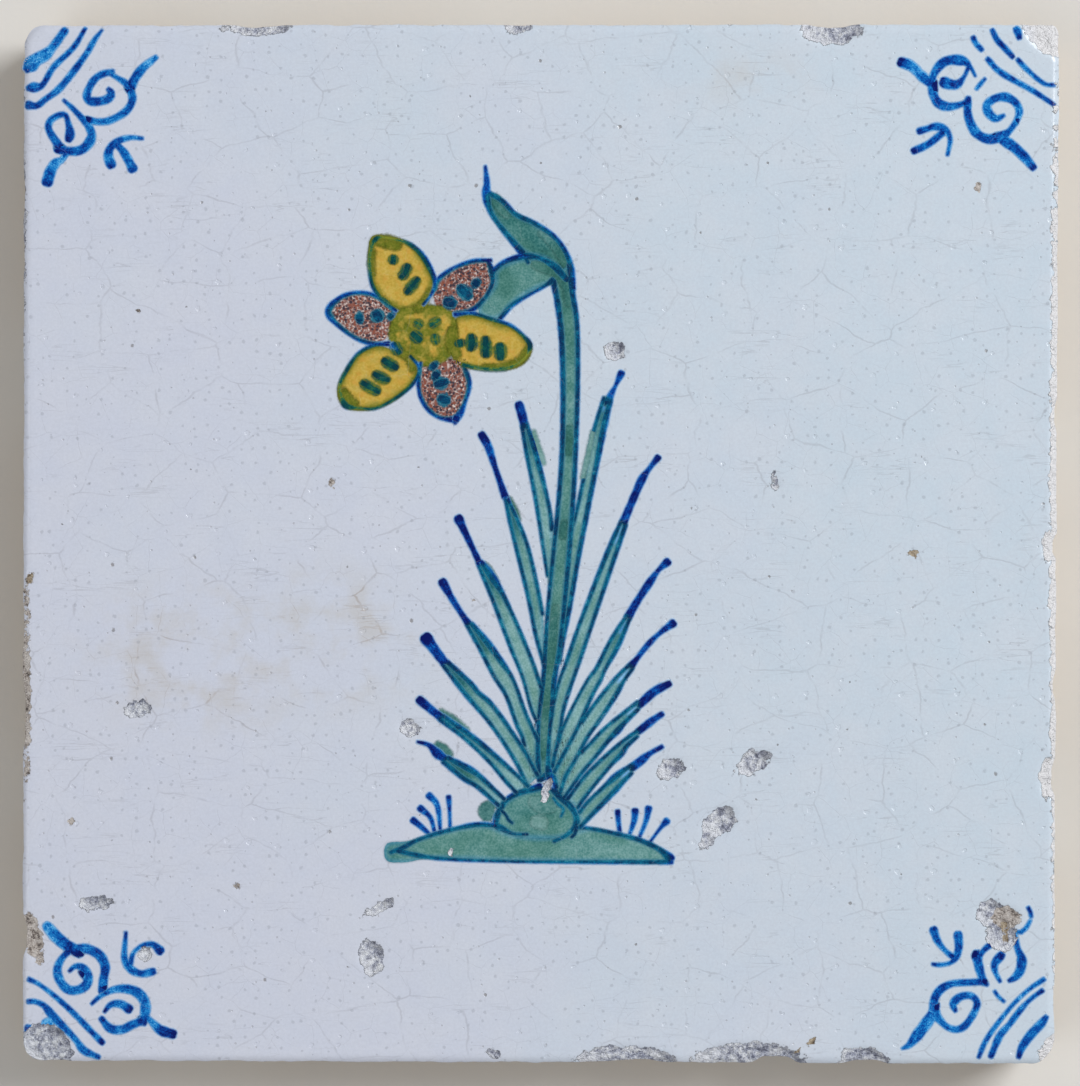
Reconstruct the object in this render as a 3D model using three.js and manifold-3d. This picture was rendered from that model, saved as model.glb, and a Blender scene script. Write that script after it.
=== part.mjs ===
// A painted wall tile: a fired clay slab, a coat of white tin glaze, thin washes of colour
// and blue brushwork over them. The tile lies on its back, face up, in millimetres, with its
// origin at the middle of the back face, +X to the picture's right and +Y to the picture's top.

import * as THREE from 'three';
import Module from 'manifold-3d';

const wasm = await Module();
wasm.setup();
const { Manifold, Mesh: SolidMesh } = wasm;

// Driving sizes
const TILE_WIDTH = 130;
const TILE_HEIGHT = 130;
const BISCUIT_THICKNESS = 12;
const GLAZE_THICKNESS = 0.6;
const WASH_THICKNESS = 0.1;
const LINE_THICKNESS = 0.1;

// The sides stand upright near the face and are cut under toward the back
const UPRIGHT_BAND = 5;
const BACK_UNDERCUT = 1;

// Corner wear, as the legs of each lost corner along the top or bottom edge and along the side
const CORNER_WEAR_NW = { along: 2.6, down: 2.8 };
const CORNER_WEAR_NE = { along: 0.9, down: 0.9 };
const CORNER_WEAR_SW = { along: 2.2, down: 2.0 };
const CORNER_WEAR_SE = { along: 2.8, down: 2.6 };
const CORNER_WEAR_FULLNESS = 0.62;

// Flaked places in the glaze go this deep into it
const FLAKE_DEPTH = 0.35;

// A wash stops this far inside the middle of the brush line that covers its edge
const WASH_TUCK = 0.16;

// How finely a brush stroke follows its hand-placed points
const SCROLL_STEPS = 2;
const PLAIN_STEPS = 1;

// A stroke's rounded end reaches this share of its half width past the last point
const TIP_REACH = 0.7;
const TIP_WIDTH = 0.5;

// Levels, from the back face up
const BISCUIT_TOP = BISCUIT_THICKNESS;
const GLAZE_TOP = BISCUIT_TOP + GLAZE_THICKNESS;
const WASH_TOP = GLAZE_TOP + WASH_THICKNESS;

// Finishes
const FIRED_CLAY = { color: '#c9b18c', roughness: 0.9 };
const TIN_GLAZE = { color: '#d2d8e1', roughness: 0.22 };
const COBALT = { color: '#15549b', roughness: 0.25 };
const COPPER_GREEN = { color: '#7c9f92', roughness: 0.28 };
const ANTIMONY_YELLOW = { color: '#d3aa3f', roughness: 0.28 };
const STIPPLED_BROWN = { color: '#bd8a72', roughness: 0.32 };

const tile = new THREE.Group();

/** Adds one closed piece to the tile under its own name, with its own material. */
function addPiece(name, geometry, finish) {
  const material = new THREE.MeshStandardMaterial({ ...finish, metalness: 0 });
  const mesh = new THREE.Mesh(geometry, material);
  mesh.name = name;
  tile.add(mesh);
}

/** Packs vertices and triangles into a geometry. */
function toGeometry(vertices, triangles) {
  const geometry = new THREE.BufferGeometry();
  geometry.setAttribute('position', new THREE.Float32BufferAttribute(vertices, 3));
  geometry.setIndex(triangles);
  return geometry;
}

/** Turns a closed geometry into a solid that can be joined and cut. */
function toSolid(geometry) {
  return new Manifold(new SolidMesh({
    numProp: 3,
    vertProperties: new Float32Array(geometry.getAttribute('position').array),
    triVerts: new Uint32Array(geometry.getIndex().array),
  }));
}

/** Turns a solid back into a geometry. */
function fromSolid(solid) {
  const mesh = solid.getMesh();
  return toGeometry(Array.from(mesh.vertProperties), Array.from(mesh.triVerts));
}

/** Joins closed geometries that touch or cross into one. */
function joined(geometries) {
  return fromSolid(Manifold.union(geometries.map(toSolid)));
}

/** A closed loft through rings of the same number of points, listed anticlockwise from above. */
function loft(rings) {
  const count = rings[0].points.length;
  const vertices = rings.flatMap(({ points, z }) => points.flatMap((p) => [p.x, p.y, z]));
  const caps = THREE.ShapeUtils.triangulateShape(rings[0].points, []);
  const last = (rings.length - 1) * count;
  const triangles = [];
  for (const [a, b, c] of caps) {
    triangles.push(a, c, b);
    triangles.push(last + a, last + b, last + c);
  }
  for (let ring = 0; ring < rings.length - 1; ring += 1) {
    for (let i = 0; i < count; i += 1) {
      const here = ring * count + i;
      const next = ring * count + (i + 1) % count;
      triangles.push(here, next, next + count);
      triangles.push(here, next + count, here + count);
    }
  }
  return toGeometry(vertices, triangles);
}

/** A flat patch: a closed outline of [x, y] points, as thick as the given coat. */
function patch(outline, base, thickness) {
  const points = outline.map(([x, y]) => new THREE.Vector2(x, y));
  if (THREE.ShapeUtils.isClockWise(points)) {
    points.reverse();
  }
  return loft([{ points, z: base }, { points, z: base + thickness }]);
}

/** Places along a stroke: its middle, its half width and the direction to its left. */
function strokeSections(points, steps) {
  const path = new THREE.CatmullRomCurve3(
    points.map(([x, y, width]) => new THREE.Vector3(x, y, width)),
    false,
    'centripetal',
  );
  const samples = path.getPoints((points.length - 1) * steps);
  return samples.map((sample, i) => {
    const before = samples[Math.max(i - 1, 0)];
    const after = samples[Math.min(i + 1, samples.length - 1)];
    const along = new THREE.Vector2(after.x - before.x, after.y - before.y).normalize();
    return {
      middle: new THREE.Vector2(sample.x, sample.y),
      half: sample.z / 2,
      along,
      left: new THREE.Vector2(-along.y, along.x),
    };
  });
}

/** The rounded end of a stroke, a little past its first or last section. */
function roundedEnd(section, direction) {
  const reach = direction * section.half * TIP_REACH;
  return {
    ...section,
    middle: section.middle.clone().addScaledVector(section.along, reach),
    half: section.half * TIP_WIDTH,
  };
}

/** One brush stroke through [x, y, width] points, as a flat band with rounded ends. */
function stroke(points, base, steps = PLAIN_STEPS) {
  const sections = strokeSections(points, steps);
  const first = roundedEnd(sections[0], -1);
  const last = roundedEnd(sections[sections.length - 1], 1);
  const vertices = [];
  const triangles = [];
  for (const { middle, half, left } of [first, ...sections, last]) {
    for (const [side, z] of [[-1, base], [1, base], [1, base + LINE_THICKNESS],
      [-1, base + LINE_THICKNESS]]) {
      vertices.push(middle.x + side * half * left.x, middle.y + side * half * left.y, z);
    }
  }
  const spans = sections.length + 1;
  for (let span = 0; span < spans; span += 1) {
    for (let corner = 0; corner < 4; corner += 1) {
      const here = span * 4 + corner;
      const next = span * 4 + (corner + 1) % 4;
      triangles.push(here, next + 4, here + 4);
      triangles.push(here, next, next + 4);
    }
  }
  const end = spans * 4;
  triangles.push(0, 2, 1, 0, 3, 2);
  triangles.push(end, end + 1, end + 2, end, end + 2, end + 3);
  return toGeometry(vertices, triangles);
}

/** One leaf's wash, between its left and right outlines, each drawn from tip to root. */
function leafWash({ left, right }) {
  const inset = (line, side) => strokeSections(line, PLAIN_STEPS).map(
    ({ middle, left: across }) => middle.clone().addScaledVector(across, side * WASH_TUCK),
  );
  const outline = [...inset(left, 1), ...inset(right, -1).reverse()];
  return patch(outline.map((p) => [p.x, p.y]), GLAZE_TOP, WASH_THICKNESS);
}

/** The tile's outline in plan, anticlockwise from the lower left, drawn in by an inset. */
function tileOutline(inset) {
  const x = TILE_WIDTH / 2 - inset;
  const y = TILE_HEIGHT / 2 - inset;
  const corner = (sx, sy, wear) => {
    const side = [sx * x, sy * (y - wear.down)];
    const edge = [sx * (x - wear.along), sy * y];
    const worn = [
      sx * (x - wear.along * (1 - CORNER_WEAR_FULLNESS)),
      sy * (y - wear.down * (1 - CORNER_WEAR_FULLNESS)),
    ];
    return sx * sy > 0 ? [side, worn, edge] : [edge, worn, side];
  };
  return [
    ...corner(-1, -1, CORNER_WEAR_SW),
    ...corner(1, -1, CORNER_WEAR_SE),
    ...corner(1, 1, CORNER_WEAR_NE),
    ...corner(-1, 1, CORNER_WEAR_NW),
  ].map(([px, py]) => new THREE.Vector2(px, py));
}

/** Places a corner motif: its points count inward from the two nearest edges of the tile. */
function inCorner(sx, sy, points) {
  return points.map(([inX, inY, ...width]) => [
    sx * (TILE_WIDTH / 2 - inX),
    sy * (TILE_HEIGHT / 2 - inY),
    ...width,
  ]);
}

/** An oval outline around a middle point. */
function oval({ x, y, across, high }) {
  const sides = 10;
  return Array.from({ length: sides }, (_, i) => {
    const turn = (i / sides) * 2 * Math.PI;
    return [x + (across / 2) * Math.cos(turn), y + (high / 2) * Math.sin(turn)];
  });
}

// The clay slab

addPiece('biscuit_body', loft([
  { points: tileOutline(BACK_UNDERCUT), z: 0 },
  { points: tileOutline(0), z: BISCUIT_TOP - UPRIGHT_BAND },
  { points: tileOutline(0), z: BISCUIT_TOP },
]), FIRED_CLAY);

// The glaze coat, with the places where it has flaked

const CORNER_FLAKES = [
  inCorner(1, 1, [[-1, -1], [4.1, -1], [3.6, 1.2], [2.6, 2.6], [1.4, 3.0], [-1, 3.6]]),
  inCorner(-1, -1, [[-1, -1], [6.4, -1], [6.0, 0.8], [5.0, 2.5], [3.6, 3.4], [1.6, 3.3], [-1, 2.6]]),
  inCorner(1, -1, [[9.3, 18.6], [7.6, 19.3], [6.2, 19.5], [4.6, 18.4], [4.6, 17.2], [5.9, 16.4],
    [5.9, 15.0], [6.4, 14.3], [7.2, 14.9], [8.8, 17.0]]),
];
const EDGE_FLAKES = [
  { from: 4.7, to: 17.1, deep: 1.8 },
  { from: 19.1, to: 32.9, deep: 2.2 },
];
const PITS = [
  { x: 1.0, y: -30.9, across: 1.5, high: 2.4 },
  { x: 16.4, y: -28.4, across: 3.6, high: 2.8 },
  { x: 9.4, y: 24.0, across: 3.0, high: 2.5 },
  { x: -20.0, y: -45.8, across: 3.6, high: 1.7 },
  { x: -21.0, y: -52.0, across: 3.0, high: 4.2 },
  { x: 22.2, y: -35.9, across: 5.0, high: 5.2 },
  { x: 26.7, y: -27.6, across: 4.2, high: 3.2 },
  { x: -55.9, y: -45.3, across: 4.2, high: 1.8 },
];

/** A flake along the bottom edge: a shallow bite that runs past the edge. */
function edgeFlake({ from, to, deep }) {
  const edge = -TILE_HEIGHT / 2;
  const run = to - from;
  return [
    [from, edge - 1],
    [to, edge - 1],
    [to - run * 0.1, edge + deep * 0.7],
    [to - run * 0.4, edge + deep],
    [from + run * 0.2, edge + deep * 0.8],
  ];
}

const flakeOutlines = [...CORNER_FLAKES, ...EDGE_FLAKES.map(edgeFlake), ...PITS.map(oval)];
const flakes = flakeOutlines.map(
  (outline) => toSolid(patch(outline, GLAZE_TOP - FLAKE_DEPTH, 2 * FLAKE_DEPTH)),
);
const glazeCoat = toSolid(loft([
  { points: tileOutline(0), z: BISCUIT_TOP },
  { points: tileOutline(0), z: GLAZE_TOP },
]));
addPiece('tin_glaze', fromSolid(glazeCoat.subtract(Manifold.union(flakes))), TIN_GLAZE);

// Corner brushwork, straight on the glaze. Points are [in from the side, in from the top or
// bottom edge, width of the stroke].

const CORNER_STROKES = {
  nw: {
    sx: -1,
    sy: 1,
    band_outer: [[[5.5, 0.7, 0.8], [4.7, 1.9, 0.8], [3.8, 3.0, 0.8], [3.0, 3.8, 1.1],
      [1.9, 4.4, 1.3], [1.1, 5.1, 1.6], [0.7, 5.6, 1.0]]],
    band_middle: [[[7.95, 0.5, 0.35], [7.4, 1.5, 0.5], [6.6, 2.8, 0.5], [5.0, 4.3, 0.55],
      [4.0, 5.4, 0.6], [3.2, 6.8, 0.5], [2.5, 7.7, 0.6], [1.5, 7.9, 1.1], [0.8, 8.0, 0.6]]],
    band_inner: [[[10.1, 0.7, 0.2], [9.2, 1.9, 0.5], [8.2, 3.6, 0.6], [7.0, 5.2, 0.6],
      [6.0, 6.6, 0.6], [4.7, 8.1, 0.7], [3.0, 9.4, 0.6], [1.9, 10.15, 0.7], [0.8, 10.1, 1.0]]],
    scrolls: [
      [[10.9, 8.1, 0.5], [11.3, 8.7, 0.8], [10.7, 9.35, 0.9], [9.8, 9.6, 0.9], [8.6, 9.55, 0.85],
        [8.15, 9.0, 0.75], [8.4, 8.1, 0.7], [9.0, 7.1, 0.7], [10.0, 6.3, 0.7], [11.5, 5.85, 0.5]],
      [[11.0, 6.1, 0.4], [12.2, 6.8, 0.45], [13.2, 7.5, 0.7], [13.8, 8.6, 0.8], [13.85, 9.5, 0.8],
        [13.2, 10.8, 0.8], [12.2, 11.6, 0.8], [10.9, 12.1, 0.7], [9.5, 12.2, 0.65],
        [8.2, 12.0, 0.7]],
      [[13.6, 8.1, 1.1], [14.1, 7.0, 1.0], [15.2, 5.5, 0.9], [16.9, 4.1, 0.5]],
      [[5.3, 9.5, 0.3], [6.6, 10.7, 0.45], [7.8, 12.0, 0.6], [8.6, 13.1, 0.75], [8.8, 14.1, 0.9],
        [8.2, 15.2, 1.0], [7.3, 15.8, 0.9], [6.0, 15.9, 0.9], [4.4, 15.6, 0.9]],
      [[4.8, 15.4, 0.9], [4.0, 14.3, 0.8], [3.4, 13.0, 0.7], [3.7, 12.0, 0.65], [4.6, 11.4, 0.55],
        [5.4, 11.3, 0.5], [5.9, 12.5, 0.6], [6.1, 13.8, 0.95], [5.9, 14.5, 0.8]],
      [[5.7, 16.0, 0.5], [5.0, 17.0, 0.6], [4.3, 17.4, 1.0], [3.6, 18.5, 1.2], [3.15, 19.8, 1.3]],
    ],
    sprig: [
      [[15.2, 14.3, 0.25], [13.6, 14.2, 0.5], [12.0, 14.7, 0.7], [11.1, 15.6, 0.8],
        [10.9, 16.6, 0.95], [11.3, 17.7, 1.1]],
      [[11.9, 15.0, 0.6], [12.8, 16.0, 0.8], [13.5, 17.2, 0.9], [14.0, 18.2, 1.05]],
    ],
  },
  ne: {
    sx: 1,
    sy: 1,
    band_outer: [[[5.2, 0.45, 0.7], [4.95, 0.9, 0.8], [4.75, 1.7, 0.6]]],
    band_middle_high: [[[8.2, 0.7, 0.5], [7.6, 1.9, 0.6], [6.5, 3.1, 0.55], [5.6, 4.1, 0.5]]],
    band_middle_low: [[[5.0, 4.4, 0.45], [4.0, 5.5, 0.45], [2.6, 6.8, 0.45], [1.5, 7.5, 0.4],
      [0.4, 7.55, 0.4]]],
    band_inner_high: [[[10.6, 1.6, 0.5], [10.3, 2.3, 0.5], [9.5, 3.2, 0.5]]],
    band_inner_low: [[[8.8, 4.3, 0.5], [7.4, 5.8, 0.6], [5.2, 7.2, 0.6], [2.8, 8.5, 0.5],
      [0.4, 10.1, 0.4]]],
    scrolls: [
      [[10.3, 6.5, 0.2], [10.9, 5.4, 0.4], [11.8, 4.6, 1.0], [12.8, 4.4, 1.1], [14.2, 4.7, 0.95],
        [15.3, 5.7, 0.8], [15.8, 7.0, 0.8], [15.7, 8.4, 0.8], [15.1, 9.7, 0.95], [13.8, 10.3, 0.9],
        [12.4, 10.1, 0.55], [11.2, 9.6, 0.5]],
      [[11.1, 5.2, 0.35], [11.7, 6.5, 0.4], [12.6, 7.5, 0.9], [13.5, 7.5, 1.2], [14.4, 7.2, 1.2]],
      [[15.9, 7.5, 0.8], [17.0, 6.5, 1.1], [18.4, 5.2, 1.1], [19.7, 4.7, 1.2]],
      [[11.2, 9.2, 0.6], [11.3, 10.8, 0.75], [11.0, 12.2, 0.9], [10.1, 13.7, 0.95],
        [8.6, 14.4, 0.95], [7.2, 14.1, 1.1], [6.0, 13.3, 0.6], [5.1, 12.1, 0.55],
        [4.8, 11.0, 0.65], [5.3, 9.8, 0.8], [6.6, 9.1, 0.9], [8.1, 9.4, 0.8], [8.85, 10.2, 0.85],
        [8.5, 11.3, 0.9], [7.7, 11.8, 0.8], [6.7, 11.4, 0.3]],
      [[7.0, 14.4, 1.1], [5.6, 15.3, 1.1], [4.2, 16.6, 1.0], [3.0, 18.0, 0.8]],
    ],
    sprig: [
      [[17.4, 13.4, 0.8], [16.4, 13.1, 0.6], [15.2, 12.75, 0.75], [14.2, 13.1, 0.7],
        [13.5, 14.2, 0.5], [13.8, 16.4, 0.25]],
      [[18.1, 15.9, 0.75], [16.2, 15.0, 0.65], [14.3, 13.5, 0.7]],
    ],
  },
  sw: {
    sx: -1,
    sy: -1,
    band_outer: [[[0.8, 7.4, 0.5], [1.7, 7.4, 0.5], [2.8, 6.9, 0.6], [4.0, 5.5, 0.9],
      [5.4, 4.1, 0.65], [6.8, 2.6, 0.6], [7.8, 1.3, 0.8], [9.7, 0.4, 0.5]]],
    band_inner: [[[0.9, 10.2, 0.5], [2.0, 9.7, 0.35], [5.2, 7.2, 0.5], [7.6, 4.9, 0.6],
      [10.2, 2.2, 0.55]]],
    edge_dot: [[[0.9, 4.2, 0.9], [0.8, 3.6, 0.8]]],
    scrolls: [
      [[3.1, 17.0, 1.0], [4.3, 15.6, 1.25], [5.6, 14.5, 1.2], [6.9, 13.7, 1.2], [7.3, 13.2, 0.7]],
      [[6.9, 14.2, 0.7], [8.3, 14.0, 1.0], [9.8, 13.2, 1.0], [10.5, 11.8, 1.0], [10.3, 10.2, 0.9],
        [10.1, 8.6, 0.8]],
      [[10.7, 8.5, 0.4], [9.8, 7.95, 0.35], [8.8, 7.1, 0.25]],
      [[6.0, 13.8, 0.6], [5.0, 12.7, 0.65], [4.5, 11.4, 0.85], [4.9, 9.9, 0.85], [5.9, 8.85, 0.85],
        [7.2, 8.9, 0.9], [8.2, 9.6, 0.95], [8.3, 10.7, 1.0], [7.6, 11.7, 0.8], [6.7, 11.8, 0.5],
        [6.0, 11.2, 0.3]],
      [[10.4, 8.4, 0.4], [11.6, 8.9, 0.65], [13.1, 9.0, 0.9], [14.6, 8.5, 1.05], [15.5, 7.3, 1.1],
        [15.5, 5.8, 1.0], [15.3, 4.6, 0.7]],
      [[15.2, 5.0, 0.8], [13.9, 4.5, 0.9], [12.6, 3.85, 0.9], [11.2, 4.0, 0.85], [10.0, 5.3, 0.6]],
      [[15.5, 5.5, 0.6], [16.6, 4.6, 0.8], [17.5, 3.8, 1.0], [19.1, 3.3, 1.1]],
    ],
    scroll_heart: [[[10.4, 6.1, 0.25], [11.2, 7.0, 0.6], [12.4, 7.1, 0.8], [13.6, 6.4, 1.0]]],
    sprig: [
      [[13.1, 16.1, 0.3], [12.9, 14.0, 0.5], [13.0, 12.5, 0.7], [13.8, 11.4, 0.75],
        [15.1, 10.9, 0.7], [16.6, 11.2, 0.75]],
      [[13.7, 12.1, 0.45], [14.0, 13.4, 0.35], [15.1, 14.4, 0.35], [16.4, 14.6, 0.6],
        [17.5, 13.7, 1.0]],
    ],
  },
  se: {
    sx: 1,
    sy: -1,
    band_outer: [[[1.4, 5.5, 0.5], [2.0, 4.7, 0.9], [3.4, 3.2, 0.9], [4.5, 1.6, 0.8],
      [4.9, 0.4, 0.5]]],
    band_middle: [[[1.9, 8.8, 0.45], [3.4, 7.7, 0.4], [4.8, 6.2, 0.6], [6.0, 4.6, 0.55],
      [7.2, 3.2, 0.7], [7.9, 1.9, 0.75], [8.4, 0.5, 0.6]]],
    band_inner: [[[1.7, 10.2, 0.45], [3.5, 9.0, 0.4], [5.7, 6.9, 0.4], [7.9, 4.1, 0.4],
      [9.0, 2.5, 0.45], [9.9, 0.4, 0.4]]],
    scrolls: [
      [[8.1, 14.8, 0.7], [9.2, 13.9, 0.5], [9.8, 13.1, 0.5]],
      [[10.1, 13.6, 0.8], [10.0, 12.4, 0.95], [9.7, 10.9, 0.75], [9.2, 9.8, 0.6], [8.8, 9.5, 0.4]],
      [[9.3, 9.9, 0.6], [11.2, 9.75, 0.7], [13.4, 9.6, 0.7], [14.8, 8.8, 0.85], [15.5, 7.5, 0.8],
        [15.4, 6.0, 1.1], [14.6, 4.9, 0.65], [13.8, 4.2, 0.6], [12.7, 3.9, 0.65],
        [11.6, 4.4, 0.7], [10.5, 5.8, 0.75], [10.05, 7.2, 0.7], [10.8, 8.05, 0.7],
        [12.2, 8.0, 0.75], [13.1, 7.1, 0.75], [12.8, 6.2, 0.35]],
      [[15.5, 6.0, 1.1], [16.5, 4.6, 1.3], [17.9, 2.8, 1.1], [19.5, 1.5, 0.5]],
    ],
    scroll_heart: [[[7.0, 13.3, 0.9], [7.9, 12.1, 0.75], [7.8, 11.1, 0.5], [7.2, 9.9, 0.25]]],
    scroll_side: [[[4.5, 16.1, 0.3], [5.25, 16.1, 0.35], [5.3, 15.3, 0.55], [5.0, 14.0, 0.6],
      [4.5, 12.7, 0.95], [4.7, 11.3, 1.0], [5.4, 10.4, 0.7], [6.1, 10.0, 0.4]]],
    sprig: [
      [[15.6, 16.5, 0.9], [15.1, 15.1, 0.7], [14.2, 13.9, 0.45], [12.9, 12.8, 0.45]],
      [[12.5, 15.9, 1.0], [12.35, 14.2, 0.8], [12.8, 12.9, 0.65], [13.4, 12.3, 0.4],
        [14.9, 12.0, 0.35], [15.7, 12.1, 0.3]],
    ],
  },
};

for (const [corner, { sx, sy, ...motifs }] of Object.entries(CORNER_STROKES)) {
  for (const [motif, strokes] of Object.entries(motifs)) {
    const steps = motif === 'scrolls' ? SCROLL_STEPS : PLAIN_STEPS;
    const bands = strokes.map((points) => stroke(inCorner(sx, sy, points), GLAZE_TOP, steps));
    addPiece(`${motif}_${corner}`, bands.length > 1 ? joined(bands) : bands[0], COBALT);
  }
}

// Leaves: each has a blue tip and two outlines that run from the tip down to the bulb, given
// as [x, y, width] from the middle of the tile. A wash of green lies between the outlines.

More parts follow.
